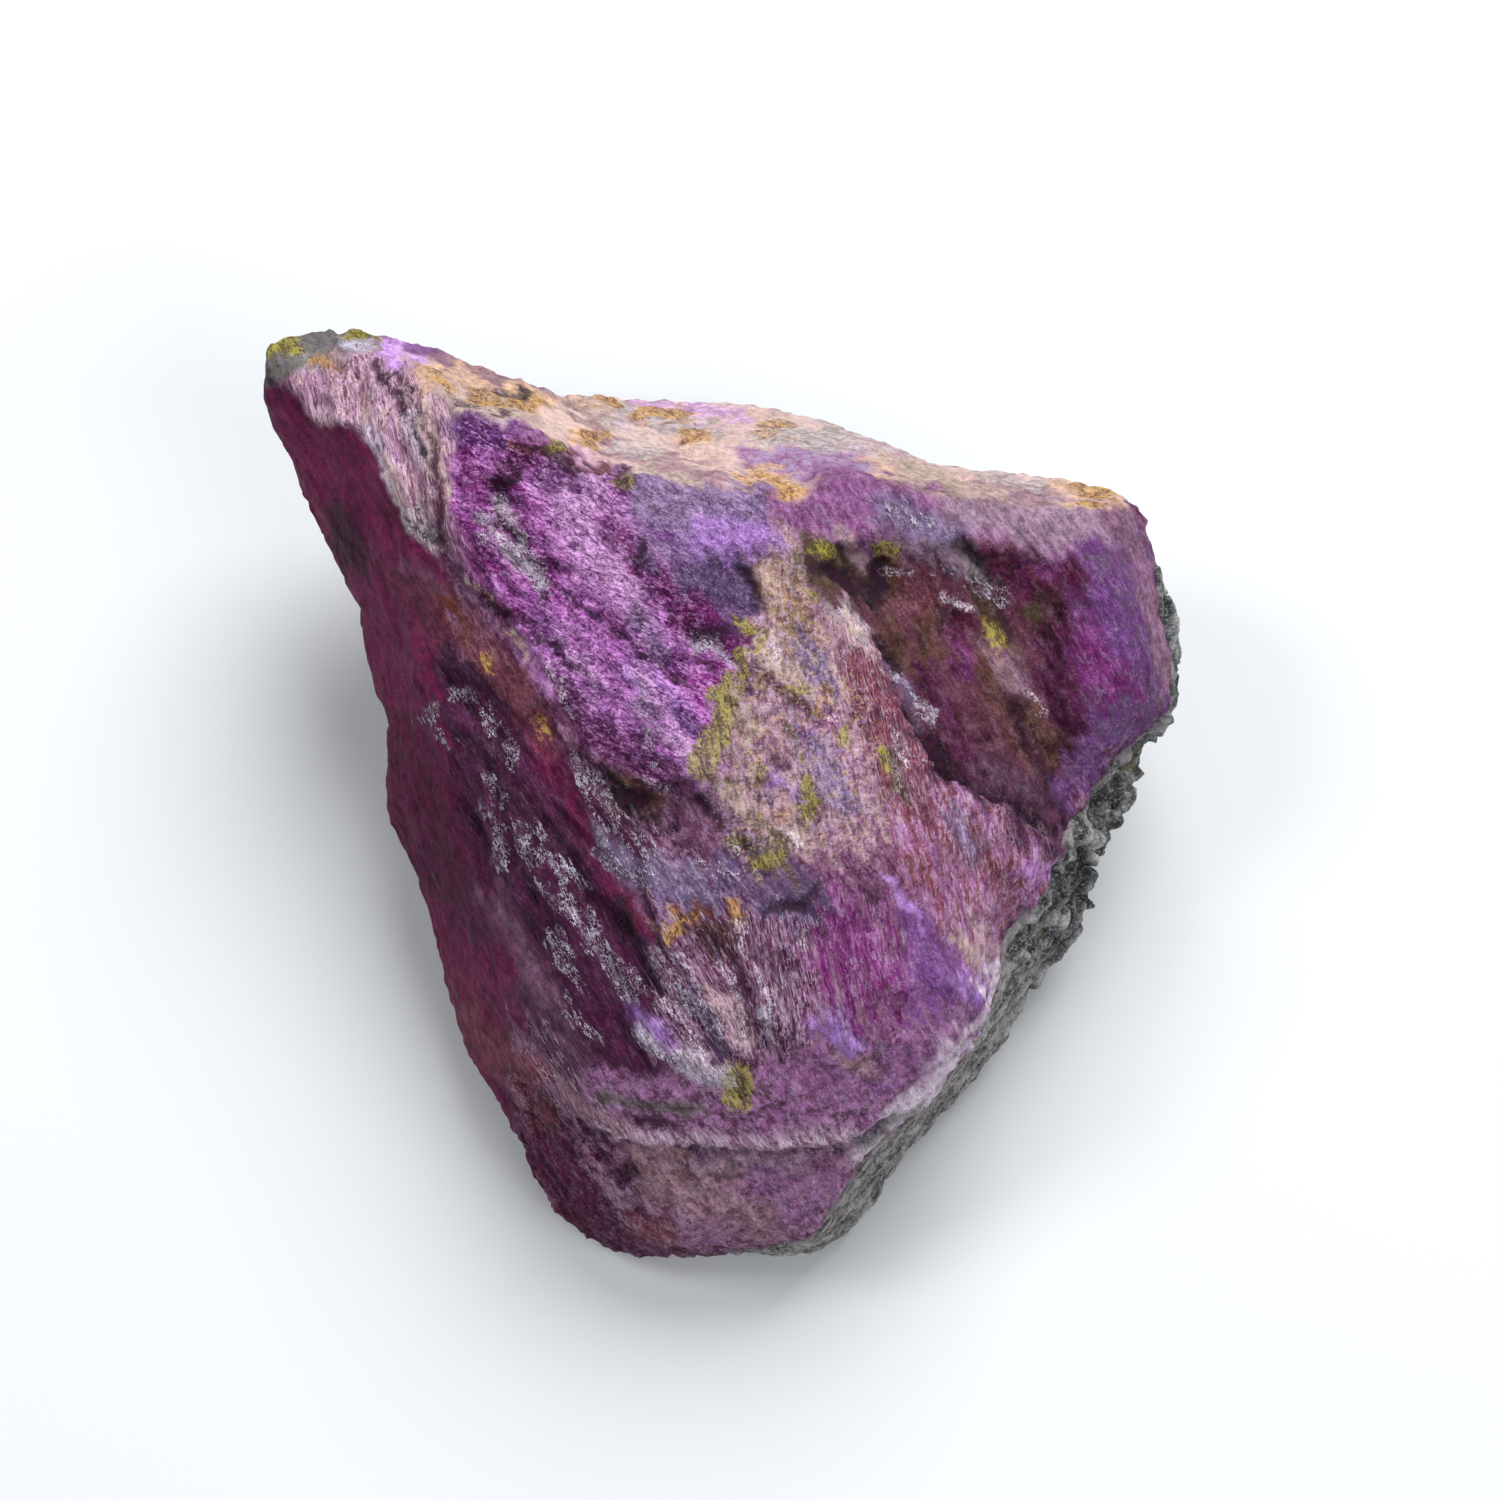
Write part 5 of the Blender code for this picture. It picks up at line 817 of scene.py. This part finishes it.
first_colour, second_colour = hidden_side_colours(read_points(stichtite))
lay_colours(first_colour, second_colour, ("mauve", "plum"), stichtite_seen)
for name, finish in FINISHES.items():
    lay_colours(first_colour, second_colour, finish[:2], face_share[name] * stichtite_seen)
flank_drift = 0.6 * face_share["flank"] * edge_on * smooth_step(grains(read_points(stichtite), 5.0, 70.0), -0.1, 0.6)
lay_colours(first_colour, second_colour, ("dark mauve", "plum"), flank_drift)
for name, line, half_width, fade in CLOUDS:
    share = 1 - smooth_step(gap_to_line(stichtite_places, line), half_width - fade / 2, half_width + fade / 2)
    share *= 0.88 * stichtite_seen
    first_colour += (np.array(PALETTE[name]) - first_colour) * share[:, None]
    second_colour += (0.55 * np.array(PALETTE[name]) - second_colour) * share[:, None]
keep_colour(stichtite, "first_colour", first_colour)
keep_colour(stichtite, "second_colour", second_colour)
lit = smooth_step(first_colour.max(axis=1), 0.05, 0.25)
keep_mark(stichtite, "glitter", glitter_share * (0.35 + 0.65 * lit) * (0.3 + 0.7 * stichtite_seen))
keep_mark(stichtite, "streaks", streak_share)
keep_mark(stichtite, "low_fibres", low_fibres)
keep_mark(stichtite, "upright", upright)
keep_mark(stichtite, "specked", specked)
keep_mark(stichtite, "raised", height)
for name in VEINS:
    keep_mark(stichtite, name, veins_at(calm_places + wander, name, stichtite_seen))
keep_mark(serpentine, "block_shade", 0.5 + 0.35 * block_height + 0.25 * chip_height)
keep_mark(serpentine, "joint", np.maximum(block_joint, 0.6 * chip_joint))
keep_mark(serpentine, "near_contact", 1 - smooth_step(serpentine_contact, 0.0, 0.6))
keep_mark(serpentine, "lower_rim", 1 - smooth_step(serpentine_sight[:, 1], -16.0, -10.0))
print("marks kept on the stichtite:", [a.name for a in stichtite.data.attributes if not a.name.startswith(".")])

# %% [markdown]
# ## Building shaders in short steps
# A small kit keeps the node trees readable: one helper adds a node and wires it, one reads a mark,
# one makes noise that is drawn out along the fibres. Coordinates are in millimetres.

# %% Node helpers
class Workbench:
    """Adds nodes to one material and wires them as it goes."""

    def __init__(self, name):
        self.material = bpy.data.materials.new(name)
        self.material.use_nodes = True
        self.tree = self.material.node_tree
        self.shader = self.tree.nodes["Principled BSDF"]
        place = self.add("ShaderNodeTexCoord").outputs["Object"]
        self.place = self.vector("SCALE", place, scale=1 / MM)

    def add(self, kind, **settings):
        node = self.tree.nodes.new(kind)
        for key, value in settings.items():
            setattr(node, key, value)
        return node

    def feed(self, socket, value):
        if isinstance(value, bpy.types.NodeSocket):
            self.tree.links.new(value, socket)
        else:
            socket.default_value = value

    def mark(self, name):
        return self.add("ShaderNodeAttribute", attribute_name=name).outputs["Fac"]

    def mark_colour(self, name):
        return self.add("ShaderNodeAttribute", attribute_name=name).outputs["Color"]

    def math(self, operation, a, b=0.0, clamp=False):
        node = self.add("ShaderNodeMath", operation=operation, use_clamp=clamp)
        self.feed(node.inputs[0], a)
        self.feed(node.inputs[1], b)
        return node.outputs[0]

    def vector(self, operation, a, b=None, scale=None):
        node = self.add("ShaderNodeVectorMath", operation=operation)
        self.feed(node.inputs[0], a)
        if b is not None:
            self.feed(node.inputs[1], b)
        if scale is not None:
            node.inputs["Scale"].default_value = scale
        return node.outputs["Value" if operation == "DOT_PRODUCT" else "Vector"]

    def step(self, value, low, high):
        node = self.add("ShaderNodeMapRange", interpolation_type="SMOOTHSTEP")
        self.feed(node.inputs["Value"], value)
        node.inputs["From Min"].default_value = low
        node.inputs["From Max"].default_value = high
        return node.outputs["Result"]

    def rescale(self, value, low, high):
        node = self.add("ShaderNodeMapRange")
        self.feed(node.inputs["Value"], value)
        node.inputs["To Min"].default_value = low
        node.inputs["To Max"].default_value = high
        return node.outputs["Result"]

    def noise(self, place, detail=2.0, roughness=0.6):
        node = self.add("ShaderNodeTexNoise")
        self.feed(node.inputs["Vector"], place)
        node.inputs["Scale"].default_value = 1.0
        node.inputs["Detail"].default_value = detail
        node.inputs["Roughness"].default_value = roughness
        return node.outputs["Fac"]

    def cell_tone(self, place):
        """One random number from 0 to 1 for each small cell."""
        node = self.add("ShaderNodeTexVoronoi", feature="F1")
        self.feed(node.inputs["Vector"], place)
        node.inputs["Scale"].default_value = 1.0
        split = self.add("ShaderNodeSeparateColor")
        self.feed(split.inputs[0], node.outputs["Color"])
        return split.outputs[0]

    def sized(self, size, shift=0.0):
        """The place on the stone, counted in steps of a size in millimetres."""
        scaled = self.vector("SCALE", self.place, scale=1 / size)
        return self.vector("ADD", scaled, (shift, shift, shift))

    def along_fibres(self, angle, length, width, shift=0.0):
        """The place on the stone, counted in fibre lengths and fibre widths."""
        run = ACROSS * math.cos(angle) + UP * math.sin(angle)
        side = UP * math.cos(angle) - ACROSS * math.sin(angle)
        node = self.add("ShaderNodeCombineXYZ")
        self.feed(node.inputs[0], self.vector("DOT_PRODUCT", self.place, tuple(run / length)))
        self.feed(node.inputs[1], self.vector("DOT_PRODUCT", self.place, tuple(side / width)))
        self.feed(node.inputs[2], self.vector("DOT_PRODUCT", self.place, tuple(TOWARD / width / 1.5)))
        return self.vector("ADD", node.outputs[0], (shift, shift, shift))

    def blend(self, share, a, b):
        """a where share is 0 and b where it is 1, for numbers."""
        node = self.add("ShaderNodeMix", data_type="FLOAT")
        self.feed(node.inputs["Factor"], share)
        self.feed(node.inputs[2], a)
        self.feed(node.inputs[3], b)
        return node.outputs[0]

    def tint(self, share, under, over, mode="MIX"):
        """A colour laid over another by a share."""
        node = self.add("ShaderNodeMix", data_type="RGBA", blend_type=mode)
        self.feed(node.inputs["Factor"], share)
        self.feed(node.inputs[6], under if isinstance(under, bpy.types.NodeSocket) else (*under, 1.0))
        self.feed(node.inputs[7], over if isinstance(over, bpy.types.NodeSocket) else (*over, 1.0))
        return node.outputs[2]

    def bump(self, height, distance, strength):
        node = self.add("ShaderNodeBump")
        node.inputs["Strength"].default_value = strength
        node.inputs["Distance"].default_value = distance * MM
        self.feed(node.inputs["Height"], height)
        return node.outputs["Normal"]


# %% [markdown]
# ## The stichtite's finish
# Stichtite is soft, waxy to pearly and made of fine fibres and scales. Close up, every face is a
# mix of tiny bright scales and dark gaps drawn out along the fibres. The shader mixes the ground
# colour with painted highlights on the scales and darker gaps, then lays the seams over it. Shade
# in the hollows and creases and the glints on the splinters are painted into the colour as well.
# Roughness varies from scale to scale, so the light breaks into glints.

# %% Stichtite material
VEIN_COLOURS = {
    "cream": ("cream", "dusty pink"),
    "ochre": ("ochre", "brown"),
    "olive": ("moss", "olive brown"),
    "dark": ("black", "plum black"),
    "pearl": ("pearl", "frost"),
}


SPECKS = (
    (0.42, 61.0, "olive", 0.40),
    (0.50, 67.0, "peach", 0.30),
    (0.36, 71.0, "maroon", 0.70),
    (0.55, 81.0, "lilac", 0.40),
    (0.26, 91.0, "pearl", 0.20),
)


def mix_ground(bench, coarse, patches):
    """The face's two colours, mottled in patches and drawn out along the fibres."""
    pick = bench.blend(bench.mark("streaks"), patches, coarse)
    return bench.tint(bench.step(pick, 0.43, 0.57), bench.mark_colour("first_colour"), bench.mark_colour("second_colour"))


def darken(bench, share, colour, by):
    return bench.tint(share, colour, bench.tint(1.0, colour, by, "MULTIPLY"))


def stichtite_finish():
    bench = Workbench("stichtite waxy purple")
    low = bench.mark("low_fibres")
    upright = bench.mark("upright")

    def run_ways(make, size, level_size, shift):
        """A pattern that runs with the fibres: steep, level on the magenta face, upright in the middle."""
        steep = make(bench.along_fibres(FLANK_FIBRES, *size, shift))
        level = make(bench.along_fibres(MAGENTA_FIBRES, *level_size, shift + 4.0))
        standing = make(bench.along_fibres(COLUMN_FIBRES, *size, shift + 8.0))
        return bench.blend(upright, bench.blend(low, steep, level), standing)

    coarse = run_ways(lambda place: bench.noise(place, 3.0, 0.65), (4.5, 0.5), (2.2, 0.7), 0.0)
    strokes = run_ways(lambda place: bench.noise(place, 2.0, 0.7), (0.60, 0.12), (0.30, 0.13), 3.0)
    clusters = run_ways(lambda place: bench.noise(place, 2.0, 0.6), (1.9, 0.55), (1.2, 0.55), 13.0)
    flakes = run_ways(bench.cell_tone, (0.45, 0.16), (0.30, 0.17), 23.0)
    scales = bench.noise(bench.sized(0.15), 3.0, 0.75)
    patches = bench.noise(bench.sized(0.75, 5.0), 5.0, 0.70)
    streaks = bench.mark("streaks")
    glitter = bench.mark("glitter")
    raised = bench.mark("raised")
    fine = bench.blend(bench.step(streaks, 0.35, 0.95), scales, strokes)
    fine = bench.blend(0.22, fine, flakes)
    speck = bench.blend(bench.rescale(low, 0.34, 0.18), fine, clusters)
    colour = mix_ground(bench, coarse, patches)
    # shade in the hollows and between the fibres
    colour = darken(bench, bench.step(raised, -0.02, -0.45), colour, (0.28, 0.18, 0.30))
    gaps = bench.math("MULTIPLY", bench.step(coarse, 0.47, 0.36), streaks)
    colour = darken(bench, gaps, colour, (0.35, 0.22, 0.34))
    dull = bench.math("MULTIPLY", bench.step(speck, 0.49, 0.40), bench.math("ADD", bench.math("MULTIPLY", glitter, 0.6), 0.30))
    colour = darken(bench, dull, colour, (0.34, 0.20, 0.34))
    # painted highlights: pale glints laid on the scales as far as the glitter mark allows, more of them on the crests
    crest_highlight = bench.math("MULTIPLY", bench.step(raised, -0.05, 0.30), 0.03)
    bright = bench.math("MULTIPLY", bench.step(bench.math("ADD", speck, crest_highlight), 0.51, 0.63), glitter)
    pale = bench.tint(low, (0.62, 0.46, 0.70), (0.66, 0.36, 0.68))
    colour = bench.tint(bright, colour, bench.tint(0.58, colour, pale))
    # single pale and dark hairs along the fibres, and fine creases on the magenta face that are darkened as painted
    # shade
    for shift, shade, amount in ((21.0, "frost", 0.42), (33.0, "plum black", 0.75)):
        hair = run_ways(lambda place: bench.noise(place, 1.0, 0.5), (3.2, 0.24), (3.2, 0.24), shift)
        off_line = bench.math("ABSOLUTE", bench.math("SUBTRACT", hair, 0.5))
        share = bench.math("MULTIPLY", bench.step(off_line, 0.030, 0.008), bench.step(streaks, 0.38, 0.9))
        share = bench.math("MULTIPLY", share, bench.math("SUBTRACT", 1.0, low))
        colour = bench.tint(bench.math("MULTIPLY", share, amount), colour, PALETTE[shade])
    crease = bench.noise(bench.along_fibres(MAGENTA_FIBRES - 0.12, 2.6, 0.75, 37.0), 3.0, 0.6)
    crease = bench.step(bench.math("ABSOLUTE", bench.math("SUBTRACT", crease, 0.5)), 0.022, 0.004)
    crease = bench.math("MULTIPLY", crease, low)
    # painted shade: the creases are darkened as if shadowed
    colour = darken(bench, bench.math("MULTIPLY", crease, 0.7), colour, (0.30, 0.14, 0.30))
    ripple = bench.noise(bench.along_fibres(MAGENTA_FIBRES + 0.10, 0.85, 0.30, 51.0), 2.0, 0.6)
    ripple = bench.math("MULTIPLY", bench.step(bench.math("ABSOLUTE", bench.math("SUBTRACT", ripple, 0.5)), 0.040, 0.006), low)
    # painted shade along the ripples
    colour = darken(bench, bench.math("MULTIPLY", ripple, 0.45), colour, (0.36, 0.16, 0.36))
    # small specks of other minerals
    specked = bench.mark("specked")
    for size, shift, shade, amount in SPECKS:
        spot = bench.step(bench.noise(bench.sized(size, shift), 2.0, 0.6), 0.58, 0.68)
        colour = bench.tint(bench.math("MULTIPLY", bench.math("MULTIPLY", spot, specked), amount), colour, PALETTE[shade])
    # mineral seams, broken up at two sizes
    ragged = bench.math("SUBTRACT", bench.noise(bench.sized(0.38, 11.0), 4.0, 0.75), 0.5)
    for name, (light, deep) in VEIN_COLOURS.items():
        mark = bench.mark(name)
        share = bench.step(bench.math("ADD", mark, bench.math("MULTIPLY", ragged, 2.0)), 0.36, 0.92)
        share = bench.math("MULTIPLY", share, bench.step(mark, 0.02, 0.25))
        if name == "pearl":
            share = bench.math("MULTIPLY", share, bench.step(bench.blend(0.5, scales, strokes), 0.44, 0.58))
        shade = bench.tint(bench.step(speck, 0.44, 0.56), PALETTE[deep], PALETTE[light])
        colour = bench.tint(bench.math("MULTIPLY", share, 0.80), colour, shade)
    # islands of glassy worm-like splinters with dark glass between them; the splinters' pale colour is a painted glint,
    # while the same mask also gives them real coat gloss and relief
    silver = bench.mark("silver")
    island = bench.math("ADD", silver, bench.math("MULTIPLY", bench.math("SUBTRACT", clusters, 0.5), 3.2))
    island = bench.math("MULTIPLY", bench.step(island, 0.66, 0.84), bench.step(silver, 0.02, 0.3))
    worm = bench.noise(bench.along_fibres(FLANK_FIBRES, 0.36, 0.13, 41.0), 1.0, 0.5)
    worm = bench.step(bench.math("ABSOLUTE", bench.math("SUBTRACT", worm, 0.5)), 0.045, 0.012)
    worm = bench.math("MAXIMUM", worm, bench.math("MULTIPLY", bench.step(flakes, 0.72, 0.80), 0.4))
    patchy = bench.step(bench.math("ADD", patches, bench.math("MULTIPLY", scales, 0.5)), 0.62, 0.85)
    splinter_and_painted_glint = bench.math("MULTIPLY", bench.math("MULTIPLY", worm, island), bench.rescale(patchy, 0.12, 1.0))
    colour = bench.tint(bench.math("MULTIPLY", island, 0.35), colour, PALETTE["plum black"])
    # painted glint: the splinters are lightened in the base colour
    colour = bench.tint(bench.math("MULTIPLY", splinter_and_painted_glint, 0.85), colour, (0.82, 0.77, 0.93))
    bench.feed(bench.shader.inputs["Base Color"], colour)
    bench.feed(bench.shader.inputs["Roughness"], bench.rescale(speck, 0.75, 0.40))
    bench.shader.inputs["Specular IOR Level"].default_value = 0.07
    shine = bench.math("MULTIPLY", bench.step(speck, 0.50, 0.62), bench.math("MULTIPLY", glitter, 0.6))
    bench.feed(bench.shader.inputs["Coat Weight"], bench.math("MAXIMUM", shine, splinter_and_painted_glint))
    bench.shader.inputs["Coat Roughness"].default_value = 0.22
    height = bench.math("ADD", bench.math("MULTIPLY", speck, 0.8), bench.math("MULTIPLY", coarse, 0.5))
    height = bench.math("ADD", height, bench.math("MULTIPLY", patches, 0.4))
    height = bench.math("SUBTRACT", height, bench.math("MULTIPLY", bench.math("MAXIMUM", crease, ripple), 0.30))
    height = bench.math("ADD", height, bench.math("MULTIPLY", splinter_and_painted_glint, 0.25))
    bumped = bench.bump(height, 0.32, 0.9)
    bench.feed(bench.shader.inputs["Normal"], bumped)
    bench.feed(bench.shader.inputs["Coat Normal"], bumped)
    return bench.material


stichtite_material = stichtite_finish()
print("stichtite material has", len(stichtite_material.node_tree.nodes), "nodes")

# %% [markdown]
# ## The serpentine's finish
# The crust is dark grey-green to black and rough, with a few rusty stains. Near the contact it is
# dusted with purple, and its lower rim is paler and smoother.

# %% Serpentine material
def serpentine_finish():
    bench = Workbench("serpentine dark crust")
    grains_big = bench.noise(bench.sized(1.1), 3.0, 0.65)
    grains_small = bench.noise(bench.sized(0.18, 4.0), 3.0, 0.75)
    threads = bench.noise(bench.along_fibres(math.radians(55.0), 1.8, 0.3, 2.0), 2.0, 0.65)
    shade = bench.math("ADD", bench.mark("block_shade"), bench.math("SUBTRACT", grains_big, 0.5))
    colour = bench.tint(bench.step(shade, 0.38, 0.90), (0.018, 0.020, 0.020), (0.360, 0.365, 0.365))
    pale = bench.math("MULTIPLY", bench.mark("lower_rim"), bench.step(threads, 0.40, 0.58))
    colour = bench.tint(bench.math("MULTIPLY", pale, 0.75), colour, (0.38, 0.33, 0.33))
    colour = bench.tint(bench.math("MULTIPLY", bench.mark("joint"), 0.8), colour, (0.010, 0.010, 0.011))
    chips = bench.math("MULTIPLY", bench.step(grains_small, 0.54, 0.64), 0.55)
    colour = bench.tint(chips, colour, (0.46, 0.46, 0.47))
    pits = bench.math("MULTIPLY", bench.step(grains_small, 0.46, 0.36), 0.7)
    colour = bench.tint(pits, colour, (0.012, 0.012, 0.012))
    rust = bench.step(bench.noise(bench.sized(2.4, 8.0), 2.0, 0.6), 0.64, 0.72)
    colour = bench.tint(bench.math("MULTIPLY", rust, 0.6), colour, (0.13, 0.09, 0.035))
    dusted = bench.math("SUBTRACT", 1.0, bench.mark("near_contact"))
    dusted = bench.math("MULTIPLY", dusted, bench.step(grains_big, 0.42, 0.60))
    colour = bench.tint(bench.math("MULTIPLY", dusted, 0.6), colour, (0.26, 0.20, 0.24))
    bench.feed(bench.shader.inputs["Base Color"], colour)
    bench.feed(bench.shader.inputs["Roughness"], bench.rescale(grains_small, 0.75, 0.30))
    bench.shader.inputs["Specular IOR Level"].default_value = 0.4
    height = bench.math("ADD", grains_small, bench.math("MULTIPLY", grains_big, 0.6))
    bench.feed(bench.shader.inputs["Normal"], bench.bump(height, 0.22, 0.9))
    return bench.material


serpentine_material = serpentine_finish()

# %% [markdown]
# ## Handing the skins over
# The skins go back to metres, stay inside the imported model's box, take their materials and ride on
# the stone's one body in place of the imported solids.

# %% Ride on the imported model
BOX_LOW = np.array(CAD_BOX[0])
BOX_HIGH = np.array(CAD_BOX[1])


def hand_over(skin, node, material):
    points = (read_points(skin) * MM).clip(BOX_LOW, BOX_HIGH)
    write_points(skin, points)
    skin.data.materials.clear()
    skin.data.materials.append(material)
    skin.data.shade_smooth()
    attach(skin, "root")
    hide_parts(node)
    print(skin.name, "triangles:", sum(len(face.vertices) - 2 for face in skin.data.polygons))


hand_over(stichtite, "stichtite", stichtite_material)
hand_over(serpentine, "serpentine", serpentine_material)

# %% [markdown]
# ## Studio
# A plain pale sheet under the stone, one large soft light high behind it to the right, a weaker
# front light, and a small cool light at the left that makes the splinters glint.

# %% Floor and lights
def pale_floor():
    mesh = bpy.data.meshes.new("floor")
    half = 1.5
    mesh.from_pydata([(-half, -half, 0), (half, -half, 0), (half, half, 0), (-half, half, 0)], [], [(0, 1, 2, 3)])
    floor = bpy.data.objects.new("floor", mesh)
    bpy.context.scene.collection.objects.link(floor)
    bench = Workbench("pale sheet")
    bench.shader.inputs["Base Color"].default_value = (0.590, 0.610, 0.630, 1.0)
    bench.shader.inputs["Roughness"].default_value = 0.8
    mesh.materials.append(bench.material)


def soft_light(name, place, size, power, colour=(1.0, 1.0, 1.0)):
    lamp = bpy.data.lights.new(name, "AREA")
    lamp.shape = "DISK"
    lamp.size = size
    lamp.energy = power
    lamp.color = colour
    holder = bpy.data.objects.new(name, lamp)
    bpy.context.scene.collection.objects.link(holder)
    middle = Vector((0, 0, SIGHT_HEIGHT * MM))
    holder.location = place
    holder.rotation_euler = (Vector(place) - middle).to_track_quat("Z", "Y").to_euler()


pale_floor()
soft_light("high soft light", (0.10, 0.26, 0.38), 0.34, 2.65)
soft_light("front soft light", (0.30, -0.24, 0.36), 0.36, 1.25)
soft_light("upper left soft light", (-0.28, 0.05, 0.405), 0.16, 0.75)
soft_light("left glint light", (-0.36, -0.12, 0.28), 0.08, 0.14, (0.86, 0.92, 1.0))
world = bpy.data.worlds.new("studio air")
world.use_nodes = True
world.node_tree.nodes["Background"].inputs["Color"].default_value = (0.95, 0.97, 1.0, 1.0)
world.node_tree.nodes["Background"].inputs["Strength"].default_value = 0.28
bpy.context.scene.world = world
bpy.context.scene.view_settings.view_transform = "Standard"

# %% [markdown]
# ## Camera
# A long lens at the photograph's angle: 230 mm from the stone, leaning 20 degrees from straight
# down, with a picture 93.75 mm wide at the stone.

# %% Camera
PICTURE_WIDTH = 93.75
lens = bpy.data.cameras.new("camera")
lens.sensor_width = 36.0
lens.lens = lens.sensor_width * SIGHT_DISTANCE / PICTURE_WIDTH
lens.clip_start = 0.01
camera = bpy.data.objects.new("camera", lens)
bpy.context.scene.collection.objects.link(camera)
look_back = Vector(TOWARD)
camera.location = Vector((0, 0, SIGHT_HEIGHT * MM)) + look_back * SIGHT_DISTANCE * MM
camera.rotation_euler = look_back.to_track_quat("Z", "Y").to_euler()
bpy.context.scene.camera = camera
